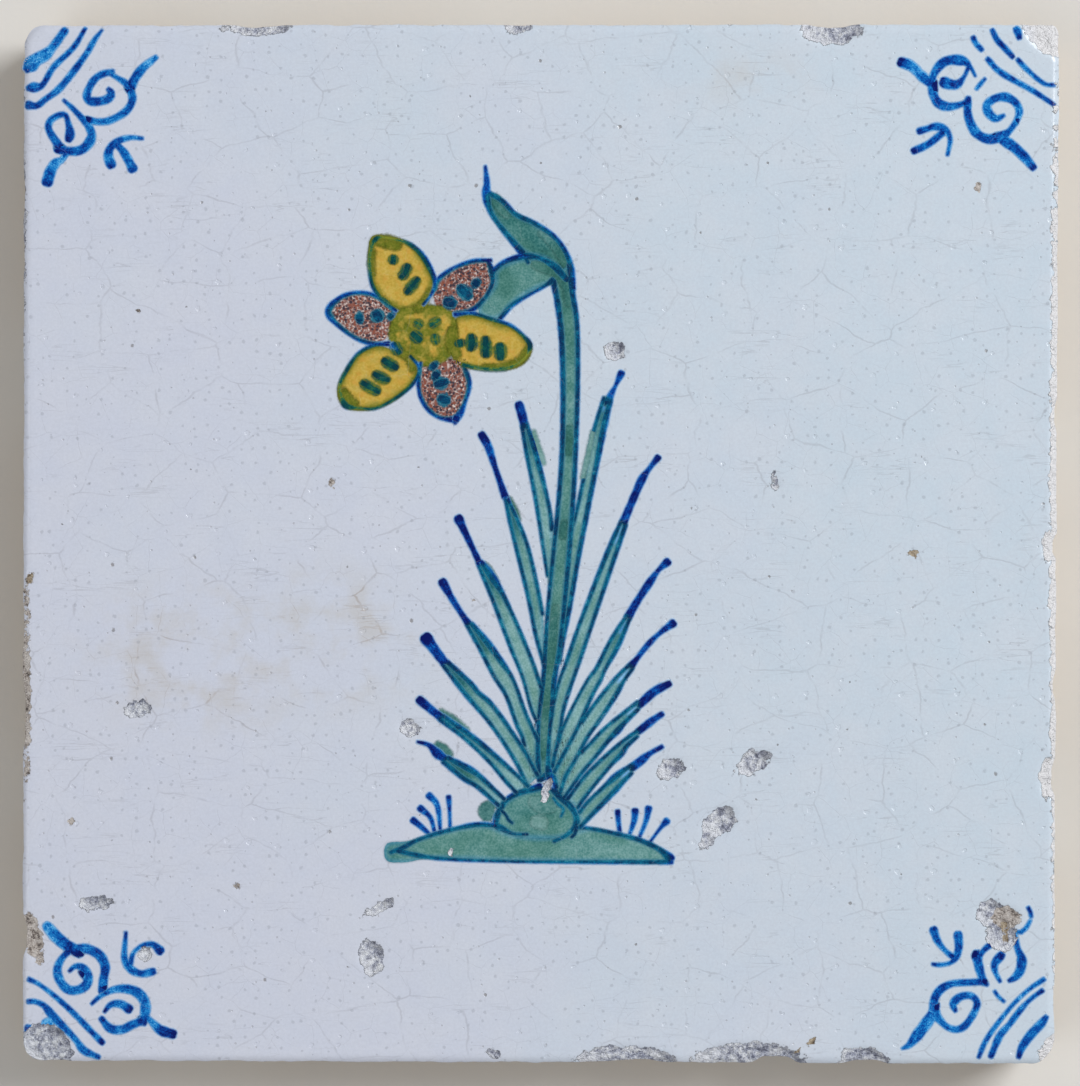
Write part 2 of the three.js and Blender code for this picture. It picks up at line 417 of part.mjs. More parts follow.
const LEAVES = {
  leaf_left_1: {
    tip: [[-2.6, 17.4, 0.9], [-2.3, 16.4, 1.0], [-1.8, 14.4, 0.9]],
    left: [[-2.2, 14.6, 0.4], [-1.6, 11, 0.4], [-0.6, 6, 0.4], [0.15, 1, 0.35], [1.0, -4.2, 0.3]],
    right: [[-1.6, 14.8, 0.4], [-0.7, 12, 0.55], [0.3, 8.5, 0.45], [1.2, 4.5, 0.35],
      [1.6, 1.6, 0.45]],
  },
  leaf_left_2: {
    tip: [[-7.3, 13.6, 0.9], [-6.5, 12.2, 0.9], [-5.6, 9.5, 0.55], [-4.7, 6.8, 0.7],
      [-4.3, 5.7, 0.8]],
    left: [[-4.6, 6, 0.4], [-3.8, 3, 0.35], [-2.6, -2, 0.35], [-1.4, -7, 0.35], [-0.5, -11.5, 0.35],
      [0.45, -15.2, 0.35]],
    right: [[-4.0, 5.5, 0.4], [-2.8, 3, 0.45], [-1.7, 0.2, 0.4], [-0.5, -4.5, 0.35],
      [0.4, -9, 0.35]],
  },
  leaf_left_3: {
    tip: [[-10.2, 3.1, 1.1], [-9.5, 1.6, 0.8], [-8.4, -0.7, 0.6], [-7.6, -2.4, 0.7]],
    left: [[-7.8, -2.5, 0.4], [-5.8, -7.4, 0.4], [-3.7, -13, 0.35], [-1.8, -18.8, 0.35],
      [-0.25, -24.2, 0.35]],
    right: [[-7.3, -2.4, 0.5], [-5.9, -4.4, 0.9], [-4.6, -6.5, 0.5], [-2.4, -11.2, 0.4],
      [-1.1, -14.4, 0.4], [0.15, -17.9, 0.4]],
  },
  leaf_left_4: {
    tip: [[-12.2, -4.9, 1.1], [-11, -7, 0.65], [-9.8, -8.9, 0.6], [-8.9, -10.2, 0.75]],
    left: [[-9.1, -10.4, 0.35], [-7.3, -13.7, 0.4], [-4.6, -18.7, 0.35], [-2.6, -23.5, 0.35],
      [-0.8, -27.8, 0.35]],
    right: [[-8.5, -10.2, 0.5], [-6.4, -12.7, 0.7], [-4.6, -15.2, 0.6], [-3.1, -18, 0.4],
      [-1.3, -22.5, 0.35], [-0.5, -25, 0.35]],
  },
  leaf_left_5: {
    tip: [[-14.3, -11.9, 1.5], [-13.2, -13.4, 1.1], [-11.9, -15.1, 1.0]],
    left: [[-12.2, -15.3, 0.4], [-9.3, -19.2, 0.5], [-6.3, -22.8, 0.4], [-3.6, -26.6, 0.35],
      [-1.8, -30, 0.35]],
    right: [[-11.5, -15, 0.5], [-8.4, -17.9, 0.45], [-5.3, -21.6, 0.35], [-2.5, -25.5, 0.35],
      [-0.2, -29.8, 0.35]],
  },
  leaf_left_6: {
    tip: [[-15.1, -19.7, 1.0], [-13.8, -20.8, 0.9], [-12.3, -22.0, 0.8]],
    left: [[-12.5, -22.2, 0.45], [-9.6, -24.4, 0.4], [-7, -26.8, 0.35], [-4.9, -29.1, 0.35],
      [-3.0, -31.4, 0.35]],
    right: [[-12.1, -21.8, 0.5], [-9.5, -23.8, 0.6], [-6.9, -25.9, 0.5], [-4.6, -27.8, 0.4],
      [-1.9, -30.7, 0.35]],
  },
  leaf_left_7: {
    tip: [[-15.3, -25.0, 0.25], [-13.9, -25.4, 0.5], [-12.9, -26.4, 0.95], [-11.8, -27.2, 0.8]],
    left: [[-12.1, -27.5, 0.45], [-9.4, -29.7, 0.5], [-6.9, -31.5, 0.4], [-5.1, -33, 0.4]],
    right: [[-11.5, -27, 0.5], [-9, -28.3, 0.7], [-6.7, -30.1, 0.5], [-4.3, -32.3, 0.35]],
  },
  leaf_right_1: {
    tip: [[10.3, 21.3, 0.75], [9.5, 19.6, 0.4], [8.9, 18.4, 0.8], [8.5, 17.4, 1.1]],
    left: [[8.1, 18.2, 0.4], [6.8, 14, 0.4], [5.8, 9.5, 0.35], [4.9, 5, 0.35], [4.15, 2.2, 0.35]],
    right: [[8.9, 17.8, 0.5], [8.2, 15, 0.7], [7.3, 10.5, 0.6], [6.1, 4.5, 0.5], [4.9, -1.8, 0.5],
      [3.8, -8, 0.5], [2.95, -12.2, 0.4]],
  },
  leaf_right_2: {
    tip: [[14.9, 10.7, 0.8], [13.8, 9.3, 0.5], [12.9, 8.0, 0.9], [11.9, 5.8, 0.75],
      [10.5, 2.5, 0.95]],
    left: [[10.2, 2.6, 0.4], [8.7, -0.8, 0.45], [7.0, -5, 0.4], [5, -10.3, 0.35],
      [3.3, -15.2, 0.35], [2.1, -18.8, 0.35]],
    right: [[10.8, 2.2, 0.5], [9.3, -2.3, 0.5], [7.4, -7.9, 0.4], [5.5, -13.5, 0.4], [4, -18, 0.4],
      [2.85, -22.4, 0.35]],
  },
  leaf_right_3: {
    tip: [[16.1, -2.4, 1.0], [15.0, -3.4, 0.5], [13.9, -4.9, 0.8], [12, -7.8, 0.8],
      [11.1, -9.4, 0.95]],
    left: [[10.9, -9.2, 0.35], [8.9, -12.3, 0.4], [7, -16, 0.35], [4.9, -20, 0.35],
      [2.7, -23.6, 0.35]],
    right: [[11.3, -9.6, 0.4], [9.9, -12.9, 0.5], [8, -16.4, 0.4], [6.2, -20.1, 0.4],
      [4.6, -23.4, 0.4], [2.3, -27.6, 0.35]],
  },
  leaf_right_4: {
    tip: [[16.8, -10.1, 1.0], [15.3, -11.2, 0.5], [13.8, -12.6, 0.55], [12.2, -14.6, 0.6],
      [11.4, -15.6, 0.85]],
    left: [[11.2, -15.4, 0.35], [9.0, -18, 0.4], [6.6, -21, 0.35], [5.0, -22.8, 0.35],
      [2.5, -27.4, 0.35]],
    right: [[11.7, -15.8, 0.35], [10.1, -18.5, 0.5], [7.9, -21.9, 0.35], [6, -25, 0.4],
      [4.2, -27.8, 0.35], [2.8, -31, 0.35]],
  },
  leaf_right_5: {
    tip: [[16.3, -17.7, 0.8], [14.4, -18.7, 1.0], [12.5, -20.4, 0.85]],
    left: [[12.3, -20.2, 0.35], [10.2, -21.6, 0.35], [8.2, -23.4, 0.35], [5.5, -26, 0.35]],
    right: [[12.5, -20.8, 0.35], [10, -23.4, 0.5], [7.4, -26.4, 0.35], [4.9, -29.4, 0.35],
      [3.2, -31.8, 0.35]],
  },
  leaf_right_6: {
    tip: [[15.4, -21.5, 0.6], [14.2, -22.3, 0.8], [12.4, -23.7, 0.75]],
    left: [[12.2, -23.6, 0.35], [9.4, -26, 0.35], [6.8, -28.4, 0.35], [3.5, -32.3, 0.35]],
    right: [[12.3, -24.0, 0.35], [9.9, -26.9, 0.4], [7.3, -30, 0.35], [4.7, -33.1, 0.35]],
  },
  leaf_right_7: {
    tip: [[15.4, -25.6, 0.5], [13.8, -26.5, 0.6], [12.7, -27.4, 0.95], [11.5, -28.3, 0.9]],
    left: [[11.6, -27.8, 0.35], [9.4, -29.2, 0.5], [6.8, -31.9, 0.35], [4.9, -34.2, 0.35]],
    right: [[11.8, -28.4, 0.4], [9.5, -31, 0.5], [7.8, -32.9, 0.4], [5.0, -35.8, 0.35]],
  },
};

// The stem, from the flower's sheath down to the bulb

const STEM = {
  left: [[1.7, 32.9, 0.6], [2.3, 29.8, 0.55], [2.8, 25, 0.55], [2.95, 18, 0.5], [2.8, 11, 0.5],
    [2.3, 4.5, 0.45], [1.7, -1.5, 0.45], [0.95, -9, 0.4], [0.35, -17, 0.4], [-0.2, -25, 0.4],
    [0.1, -29.8, 0.5]],
  right: [[3.7, 35.0, 0.5], [4.1, 31.5, 0.6], [4.7, 27.5, 0.5], [4.85, 22, 0.45], [4.7, 16, 0.45],
    [4.4, 8.5, 0.45], [3.9, 2, 0.45], [3.2, -6, 0.45], [2.45, -13.5, 0.45], [1.6, -21, 0.45],
    [1.1, -28.4, 0.45]],
};

const SHEATH_STROKES = [
  [[-6.75, 47.2, 0.25], [-6.6, 45, 0.65], [-6.7, 43.6, 0.9], [-6.1, 41.4, 0.5], [-4.3, 38.8, 0.5],
    [-2.0, 36.1, 0.8]],
  [[-6.3, 43.9, 0.6], [-4.7, 42.5, 0.9], [-3.2, 40.9, 1.0], [-0.8, 39.8, 0.7], [1.7, 38.1, 0.6],
    [3.1, 36.3, 0.55], [3.9, 34.2, 0.6], [4.1, 31.8, 0.6]],
  [[-6.0, 33.9, 0.6], [-4.4, 35.2, 0.5], [-1.9, 35.9, 0.8], [0, 35.7, 0.5], [1.9, 34.6, 0.8],
    [3.5, 32.9, 0.6]],
  [[1.7, 32.9, 0.7], [0.5, 32.1, 0.35], [-1.4, 31.1, 0.4], [-3.4, 29.8, 0.45], [-5.0, 28.0, 0.5]],
];
const SHEATH_UPPER_WASH = [[-6.5, 43.5], [-5.3, 43.7], [-3.8, 41.8], [-0.6, 40], [2.0, 37.9],
  [3.4, 36.0], [3.5, 35.2], [2.4, 34.5], [0.6, 35.7], [-1.7, 36.3], [-4.3, 38.8], [-6.1, 41.4]];
const SHEATH_LOWER_WASH = [[-5.4, 34.1], [-4.1, 35.0], [-1.9, 35.6], [0.2, 35.4], [2.0, 34.2],
  [1.7, 33.2], [0.5, 32.3], [-1.4, 31.3], [-3.4, 30.0], [-4.9, 28.5], [-6.4, 28.9], [-7.0, 29.8],
  [-6.1, 31.3], [-5.5, 32.8]];

// The flower: three yellow petals, three stippled ones and the middle, each a wash of its own

const PETALS = {
  petal_yellow_top: {
    finish: ANTIMONY_YELLOW,
    wash: [[-20.6, 37.9], [-18.2, 37.8], [-16, 36.9], [-14.4, 35.1], [-13.5, 32.8], [-13.9, 31.0],
      [-15.3, 29.4], [-16.8, 29.1], [-18.6, 29.8], [-20.2, 31.4], [-21.0, 34.0], [-21.0, 36.6]],
    outline: [[-18.0, 29.1, 0.4], [-19.8, 30.5, 0.45], [-21.0, 32.4, 0.45], [-21.3, 34.6, 0.4],
      [-21.1, 36.6, 0.4], [-20.5, 38.1, 0.5], [-18.6, 38.0, 0.4], [-16.6, 37.6, 0.5],
      [-14.7, 36.0, 0.55], [-13.5, 34.0, 0.6], [-13.2, 32.4, 0.6], [-13.7, 31.0, 0.4],
      [-14.6, 29.9, 0.35]],
  },
  petal_stippled_right: {
    finish: STIPPLED_BROWN,
    wash: [[-6.5, 34.9], [-8.4, 35.0], [-10.6, 34.2], [-12.4, 32.9], [-13.0, 31.3], [-12.6, 29.8],
      [-11.0, 29.2], [-9.2, 29.3], [-7.7, 30.2], [-6.3, 31.9], [-6.0, 33.6]],
    outline: [[-6.1, 35.4, 0.5], [-8.4, 35.3, 0.5], [-10.8, 34.4, 0.45], [-12.6, 33.1, 0.55],
      [-13.3, 31.7, 0.45]],
    underline: [[-6.4, 35.2, 0.5], [-6.0, 34.2, 0.7], [-5.85, 32.6, 0.5], [-7.0, 30.5, 0.45],
      [-8.6, 29.1, 0.55], [-10.6, 28.7, 0.55]],
  },
  petal_stippled_left: {
    finish: STIPPLED_BROWN,
    wash: [[-26.3, 29], [-25.1, 30.2], [-22.8, 31.0], [-20.6, 30.6], [-18.9, 29.3], [-18.4, 27.6],
      [-19.4, 25.9], [-21.2, 25.3], [-23.8, 26.3], [-25.5, 27.9]],
    outline: [[-18.3, 29.2, 0.45], [-19.7, 30.5, 0.6], [-21.8, 31.3, 0.5], [-24.2, 31.1, 0.5],
      [-26.0, 29.9, 0.65], [-26.5, 28.8, 0.8], [-24.6, 26.7, 0.5], [-22.3, 25.3, 0.5],
      [-20.3, 24.9, 0.5], [-18.9, 25.1, 0.4]],
  },
  petal_yellow_left: {
    finish: ANTIMONY_YELLOW,
    wash: [[-20.3, 24.5], [-22.4, 23.6], [-24.0, 21.6], [-24.9, 19.4], [-24.2, 17.4],
      [-21.4, 17.0], [-18.6, 17.9], [-16.2, 19.9], [-15.4, 21.8], [-16.6, 23.3], [-18.4, 24.1]],
    outline: [[-18.9, 24.8, 0.4], [-20.6, 24.8, 0.45], [-22.7, 23.7, 0.5], [-24.3, 21.4, 0.45],
      [-25.2, 19.2, 0.4], [-24.5, 17.3, 0.6], [-22.8, 16.9, 0.4], [-20.4, 16.9, 0.4],
      [-18, 18.1, 0.45], [-15.9, 19.9, 0.45], [-15.1, 21.8, 0.45], [-16.2, 23.4, 0.4]],
  },
  petal_stippled_low: {
    finish: STIPPLED_BROWN,
    wash: [[-14.6, 22.3], [-14.9, 20.0], [-14.2, 17.6], [-12.8, 16.1], [-11.2, 16.0],
      [-9.8, 17.4], [-9.1, 19.6], [-9.3, 21.7], [-10.6, 22.6], [-12.8, 22.9]],
    outline: [[-14.9, 22.6, 0.4], [-15.2, 20.2, 0.5], [-14.9, 18.2, 0.5], [-13.8, 16.5, 0.5],
      [-12.3, 15.6, 0.5], [-10.4, 15.6, 0.8], [-9.3, 17.8, 0.5], [-8.8, 20.0, 0.55],
      [-9.5, 22.2, 0.5]],
  },
  petal_yellow_right: {
    finish: ANTIMONY_YELLOW,
    wash: [[-10.5, 28.1], [-8.6, 28.5], [-5.8, 27.8], [-3.2, 26.6], [-1.4, 24.7], [-2.4, 22.9],
      [-4.8, 22.1], [-7.8, 22.2], [-10.4, 22.9], [-11.1, 24.8], [-10.9, 26.6]],
    outline: [[-10.6, 28.6, 0.5], [-8.3, 28.7, 0.5], [-6, 28, 0.5], [-3.6, 27.2, 0.45],
      [-1.9, 25.8, 0.45], [-1.2, 24.6, 0.45], [-2.1, 22.9, 0.4], [-4.1, 21.9, 0.45],
      [-7, 21.8, 0.45], [-9.6, 22.3, 0.45]],
  },
};
const FLOWER_MIDDLE = [[-17.9, 27.0], [-17.2, 28.4], [-15.4, 28.8], [-13.2, 28.9], [-11.6, 28.3],
  [-11.3, 26.2], [-11.5, 24.4], [-12.6, 23.4], [-14.8, 23.0], [-16.6, 23.8], [-17.9, 25.0]];

// The bulb and the mound that it grows from, with grass at both sides

const BULB_WASH = [[-0.3, -31.3], [-3, -32.0], [-4.2, -32.8], [-5.5, -33.5], [-7.4, -33.5],
  [-7.7, -34.7], [-6.4, -35.0], [-5.0, -35.5], [-2.6, -36.4], [1.4, -36.6], [3.8, -36.0],
  [4.4, -34.4], [3.6, -32.7], [2.0, -31.5], [1.9, -32.3], [1.0, -32.6], [0.1, -32.2]];
const MOUND_WASH = [[-19.2, -37.9], [-16.5, -37.5], [-13.6, -36.7], [-10, -35.8], [-6.4, -35.5],
  [-5.2, -36.0], [-2.8, -36.8], [1.4, -37.0], [4.2, -36.4], [6.5, -35.9], [9.5, -36.5],
  [12.5, -37.3], [15.4, -38.6], [16.2, -39.8], [8, -40.0], [-4, -39.9], [-14, -39.6],
  [-17.2, -40.1], [-19.2, -39.8]];
const GROUND_STROKES = [
  [[0.2, -30.6, 0.7], [-2, -31.3, 0.6], [-4, -32.2, 0.6], [-5.1, -33.7, 0.55], [-5.5, -35.4, 0.65],
    [-4.6, -35.9, 0.6], [-3.4, -36.5, 0.3], [-1.5, -36.6, 0.25]],
  [[1.8, -30.9, 0.7], [3.3, -32.3, 0.7], [4.5, -33.8, 0.7], [4.6, -35.4, 0.65], [3.4, -36.7, 0.4],
    [1.8, -37.5, 0.35]],
  [[0.2, -29.8, 0.5], [0.9, -29.4, 0.6], [1.7, -29.9, 0.5], [1.9, -31.0, 0.5]],
  [[-18.7, -38.9, 0.35], [-17.2, -38.3, 0.5], [-15, -37.2, 0.35], [-11, -36.0, 0.4],
    [-8, -35.4, 0.45], [-5.5, -35.5, 0.5]],
  [[-18.0, -38.6, 0.5], [-16, -39.1, 0.5], [-13, -39.55, 0.35], [-4, -39.95, 0.3], [8, -40.05, 0.4],
    [16.6, -40.1, 0.5]],
  [[4.6, -35.7, 0.4], [6.5, -35.85, 0.35], [9.5, -36.5, 0.4], [12.5, -37.3, 0.45],
    [15.2, -38.6, 0.6], [16.5, -39.7, 1.1]],
];
const GRASS_STROKES = [
  [[-15.9, -34.8, 0.8], [-14.9, -35.6, 0.55], [-13.6, -36.8, 0.4]],
  [[-15.0, -33.3, 0.75], [-13.7, -34.5, 0.5], [-13.1, -36.6, 0.35]],
  [[-13.9, -31.7, 0.8], [-12.9, -32.8, 0.55], [-12.4, -36.4, 0.3]],
  [[-11.4, -31.9, 0.55], [-11.3, -33.4, 0.4], [-11.2, -36.1, 0.3]],
  [[9.8, -33.7, 0.6], [9.85, -35, 0.45], [10.1, -36.6, 0.35]],
  [[12.0, -33.6, 0.75], [11.9, -34.8, 0.55], [11.2, -36.9, 0.3]],
  [[13.7, -33.3, 0.75], [13.4, -34.8, 0.45], [12.4, -37.3, 0.3]],
  [[16, -34.9, 0.75], [15.2, -35.8, 0.4], [13.7, -37.8, 0.3]],
];

// Washes, straight on the glaze

for (const [name, leaf] of Object.entries(LEAVES)) {
  addPiece(`${name}_wash`, leafWash(leaf), COPPER_GREEN);
}
addPiece('stem_wash', leafWash(STEM), COPPER_GREEN);
addPiece('sheath_upper_wash', patch(SHEATH_UPPER_WASH, GLAZE_TOP, WASH_THICKNESS), COPPER_GREEN);
addPiece('sheath_lower_wash', patch(SHEATH_LOWER_WASH, GLAZE_TOP, WASH_THICKNESS), COPPER_GREEN);
for (const [name, { finish, wash }] of Object.entries(PETALS)) {
  addPiece(name, patch(wash, GLAZE_TOP, WASH_THICKNESS), finish);
}
addPiece('flower_middle', patch(FLOWER_MIDDLE, GLAZE_TOP, WASH_THICKNESS), ANTIMONY_YELLOW);
addPiece('bulb_wash', patch(BULB_WASH, GLAZE_TOP, WASH_THICKNESS), COPPER_GREEN);
addPiece('mound_wash', patch(MOUND_WASH, GLAZE_TOP, WASH_THICKNESS), COPPER_GREEN);

// Blue brushwork over the washes: one unbroken network, from the flower down to the grass

const plantStrokes = [
  ...Object.values(LEAVES).flatMap(({ tip, left, right }) => [tip, left, right]),
  STEM.left,
  STEM.right,
  ...SHEATH_STROKES,
  ...Object.values(PETALS).flatMap(({ outline, underline }) => [outline, underline]),
  ...GROUND_STROKES,
  ...GRASS_STROKES,
].filter((points) => points !== undefined);
addPiece('plant_brushwork', joined(plantStrokes.map((points) => stroke(points, WASH_TOP))), COBALT);

export default tile;
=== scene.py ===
"""A painted wall tile: a clay slab under white tin glaze, with a flower on its bulb and scrolled corners.

The tile lies face up. Sizes are in millimetres until a mesh is made, and in metres after that. Brush
strokes are lists of given points, and a smooth curve runs through them.
"""
from __future__ import annotations

import logging
import math
from dataclasses import dataclass, field
from enum import Enum
from typing import Iterable, Sequence

import bpy
import numpy as np
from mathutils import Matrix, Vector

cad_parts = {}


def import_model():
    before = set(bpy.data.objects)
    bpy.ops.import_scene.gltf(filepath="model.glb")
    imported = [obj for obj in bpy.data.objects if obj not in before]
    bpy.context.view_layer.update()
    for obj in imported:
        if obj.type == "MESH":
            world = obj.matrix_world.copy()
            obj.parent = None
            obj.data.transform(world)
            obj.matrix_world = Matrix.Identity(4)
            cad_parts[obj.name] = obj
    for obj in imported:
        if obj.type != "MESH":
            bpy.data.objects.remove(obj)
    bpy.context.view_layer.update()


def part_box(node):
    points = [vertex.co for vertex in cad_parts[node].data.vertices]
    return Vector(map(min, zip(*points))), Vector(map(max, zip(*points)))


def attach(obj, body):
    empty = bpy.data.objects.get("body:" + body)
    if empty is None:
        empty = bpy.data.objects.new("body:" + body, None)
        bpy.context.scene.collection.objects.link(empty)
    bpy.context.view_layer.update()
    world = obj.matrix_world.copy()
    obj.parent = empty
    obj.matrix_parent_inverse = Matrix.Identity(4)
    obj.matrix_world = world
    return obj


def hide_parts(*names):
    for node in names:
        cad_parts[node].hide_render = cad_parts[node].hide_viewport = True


MM = 0.001
BODY = "root"

# How far the mesh of a stroke or a wash runs past its painted edge, which the finish cuts raggedly
EDGE_SPARE = 0.3

# How far from a worn place its distance is still measured
FAR = 3.0

# How far apart the outline of a wash is sampled, and that of a petal
WASH_STEP = 0.3
PETAL_STEP = 0.22

# A point of a stroke is x, y and, where they aren't the usual ones, its width and its load of colour,
# all in tenths of a millimetre and of a full load
Point = tuple[float, ...]
Points = Sequence[Point]
Rgba = tuple[float, float, float, float]
Array = np.ndarray
Socket = bpy.types.NodeSocket

log = logging.getLogger("painted_tile")


def srgb(code: str) -> Rgba:
    """Turns a screen colour into the linear values that shaders use.

    Args:
        code: The colour, as "#rrggbb".

    Returns:
        Linear red, green and blue, with an alpha of 1.
    """
    screen = [int(code[i:i + 2], 16) / 255 for i in (1, 3, 5)]
    linear = [c / 12.92 if c <= 0.04045 else ((c + 0.055) / 1.055) ** 2.4 for c in screen]
    return (linear[0], linear[1], linear[2], 1.0)


def soft_step(low: float, high: float, value: Array) -> Array:
    """Rises smoothly from 0 at low to 1 at high, or falls where low is the larger."""
    t = np.clip((value - low) / (high - low), 0.0, 1.0)
    return t * t * (3 - 2 * t)


def ripple(x: Array, y: Array, size: float, seed: float = 0.0) -> Array:
    """A smooth, repeatable unevenness, between about -1 and 1.

    Args:
        x: Places across, in millimetres.
        y: Places up, in millimetres.
        size: The length of its waves, in millimetres.
        seed: A number that picks another pattern.

    Returns:
        The unevenness at each place.
    """
    total = np.zeros_like(np.asarray(x, float))
    for i in range(5):
        turn = 1.7 * seed + 2.4 * i
        rate = 2 * math.pi / (size * (0.75 + 0.17 * i))
        phase = 3.1 * seed + 1.3 * i
        total += np.sin(rate * (x * math.cos(turn) + y * math.sin(turn)) + phase)
    return total / 3


def smooth_path(points: Points, spacing: float, closed: bool = False) -> Array:
    """Runs a smooth curve through given points and samples it evenly.

    Args:
        points: At least two points, all with as many values, in tenths.
        spacing: The distance between samples, in millimetres.
        closed: Whether the curve comes back to its first point.

    Returns:
        One row for each sample, with the same columns as the points, in whole units.
    """
    rows = np.asarray(points, float) / 10
    if closed:
        rows = np.vstack([rows[-2:], rows, rows[:3]])
    gaps = np.sqrt(np.hypot(*np.diff(rows[:, :2], axis=0).T)) + 1e-6
    slopes = np.diff(rows, axis=0) / gaps[:, None]
    inner = (slopes[:-1] * gaps[1:, None] + slopes[1:] * gaps[:-1, None]) / (gaps[:-1] + gaps[1:])[:, None]
    tangents = np.vstack([slopes[:1], inner, slopes[-1:]])
    pieces = []
    last = len(rows) - 1
    for i in range(2, last - 2) if closed else range(last):
        t = np.linspace(0, 1, 24, endpoint=False)[:, None]
        a, b = tangents[i] * gaps[i], tangents[i + 1] * gaps[i]
        pieces.append(
            (2 * t**3 - 3 * t**2 + 1) * rows[i] + (t**3 - 2 * t**2 + t) * a
            + (3 * t**2 - 2 * t**3) * rows[i + 1] + (t**3 - t**2) * b
        )
    if not closed:
        pieces.append(rows[-1:])
    dense = np.vstack(pieces + ([pieces[0][:1]] if closed else []))
    run = np.concatenate([[0], np.cumsum(np.hypot(*np.diff(dense[:, :2], axis=0).T))])
    count = max(2, int(round(run[-1] / spacing)) + 1)
    stops = np.linspace(0, run[-1], count)
    even = np.column_stack([np.interp(stops, run, column) for column in dense.T])
    return even[:-1] if closed else even


def inside_distance(outline: Array, x: Array, y: Array) -> Array:
    """Measures how far places lie inside a closed outline.

    Args:
        outline: The outline's corners, one row each.
        x: Places across.
        y: Places up.

    Returns:
        The distance to the outline, negative outside it.
    """
    nearest = np.full(x.shape, np.inf)
    inside = np.zeros(x.shape, bool)
    for (ax, ay), (bx, by) in zip(outline[:, :2], np.roll(outline[:, :2], -1, axis=0)):
        dx, dy = bx - ax, by - ay
        t = np.clip(((x - ax) * dx + (y - ay) * dy) / (dx * dx + dy * dy + 1e-12), 0, 1)
        nearest = np.minimum(nearest, np.hypot(x - ax - t * dx, y - ay - t * dy))
        if dy:
            inside ^= ((ay > y) != (by > y)) & (x < dx * (y - ay) / dy + ax)
    return np.where(inside, nearest, -nearest)


class ScarKind(Enum):
    """What a worn place on the face shows."""

    FLAKE = "flake"
    GRIME = "grime"
    CLAY = "clay"
    STAIN = "stain"


@dataclass(frozen=True)
class Scar:
    """A worn place: an oval, in millimetres from the middle of the face."""

    x: float
    y: float
    across: float
    high: float
    turn: float = 0.0
    depth: float = 0.3
    kind: ScarKind = ScarKind.FLAKE

    def distance(self, x: Array, y: Array) -> Array:
        """Measures how far places lie outside the scar.

        Args:
            x: Places across, in millimetres.
            y: Places up, in millimetres.

        Returns:
            The distance to its rim, about, and negative inside it.
        """
        turn = math.radians(self.turn)
        along = (x - self.x) * math.cos(turn) + (y - self.y) * math.sin(turn)
        aside = (y - self.y) * math.cos(turn) - (x - self.x) * math.sin(turn)
        radius = np.hypot(along / (self.across / 2), aside / (self.high / 2))
        return (radius - 1) * min(self.across, self.high) / 2


@dataclass(frozen=True)
class Notch:
    """A bite out of the tile's outline, in millimetres."""

    x: float
    y: float
    length: float
    depth: float


# The scars' places, sizes across and up, turns in degrees, and depths
SCARS = {
    ScarKind.FLAKE: (
        (-35.4, 64.8, 8.2, 2.6, 0, 0.25), (-2.8, 64.9, 3.6, 2.2, 0, 0.2), (36.6, 64.6, 7.8, 4.4, 0, 0.35),
        (65, 65.2, 10, 8, -42, 0.45), (65.1, -2, 2.2, 112, 0, 0.3), (64, -0.4, 2, 4.2, 0, 0.35),
        (64.3, -7.6, 1.3, 1.9, 0, 0.2), (63.8, -29.5, 2.2, 5.8, 0, 0.35), (64.8, 47.4, 1.2, 2.4, 0, 0.2),
        (65, -63.6, 5.6, 4, 50, 0.4), (10.9, -64.8, 12.6, 3.4, 0, 0.35), (26.2, -64.9, 14, 4.4, 0, 0.4),
        (-5.7, -64.1, 1.6, 1, 0, 0.2), (40.4, -64.9, 6.4, 3.2, 0, 0.3), (-61.8, -63, 7, 4.8, -24, 0.4),
        (-65, 40, 0.9, 34, 0, 0.1), (58, -49.2, 3.8, 4.4, 30, 0.25), (56.6, -46.5, 3.6, 3.4, 0, 0.2),
        (9.4, 24, 2.8, 2.6, 20, 0.3), (29.6, 7.5, 1, 2.6, 12, 0.2), (-16.3, -23.3, 3.4, 2, -32, 0.3),
        (-50.3, -21, 3.6, 2.2, 8, 0.3), (16.4, -28.4, 3.6, 2.6, 14, 0.35),
        (26.7, -27.6, 4.8, 2.6, 32, 0.35), (22.6, -35, 5, 3.3, 40, 0.35), (20.9, -37.5, 2.6, 1.5, 48, 0.25),
        (-55.9, -45.3, 4.2, 1.7, 4, 0.25), (-19.9, -45.8, 4.2, 1.5, 24, 0.25),
        (-21.1, -52, 3, 4.6, 12, 0.25), (-49.5, -51.5, 1.7, 1.9, 0, 0.3), (0.9, -30.9, 1.2, 3, -18, 0.25),
        (-11.1, -38.7, 0.7, 1.5, -20, 0.1),
    ),
    ScarKind.GRIME: (
        (-63.6, -49.4, 2.4, 6.6, 12, 0.35), (-64.4, -17.8, 1.2, 22, 0, 0.15),
        (58.5, -47, 3.7, 2.7, -8, 0.35), (-58.8, -34.9, 0.7, 0.8, 0, 0.15), (-38, -43.2, 0.9, 0.6, 0, 0.15),
        (55, 44.5, 0.8, 1.7, 0, 0.15), (-26, 7.1, 0.7, 1.5, 20, 0.1), (-50.3, 29.1, 0.6, 0.6, 0, 0.1),
        (-8.1, -7.3, 0.9, 0.5, 0, 0.1),
    ),
    ScarKind.CLAY: (
        (33.3, -63.2, 3.2, 0.5, 28, 0.1), (-63.8, -4.3, 1.1, 1.5, 0, 0.3), (58.4, -49.1, 0.9, 2.9, 0, 0.45),
        (47, -1.3, 1.4, 1.2, 0, 0.1),
    ),
    ScarKind.STAIN: (
        (-27, -12, 30, 20, 0, 0), (-42, -14, 34, 22, 0, 0), (26, 58.5, 18, 7, 0, 0),
    ),
}

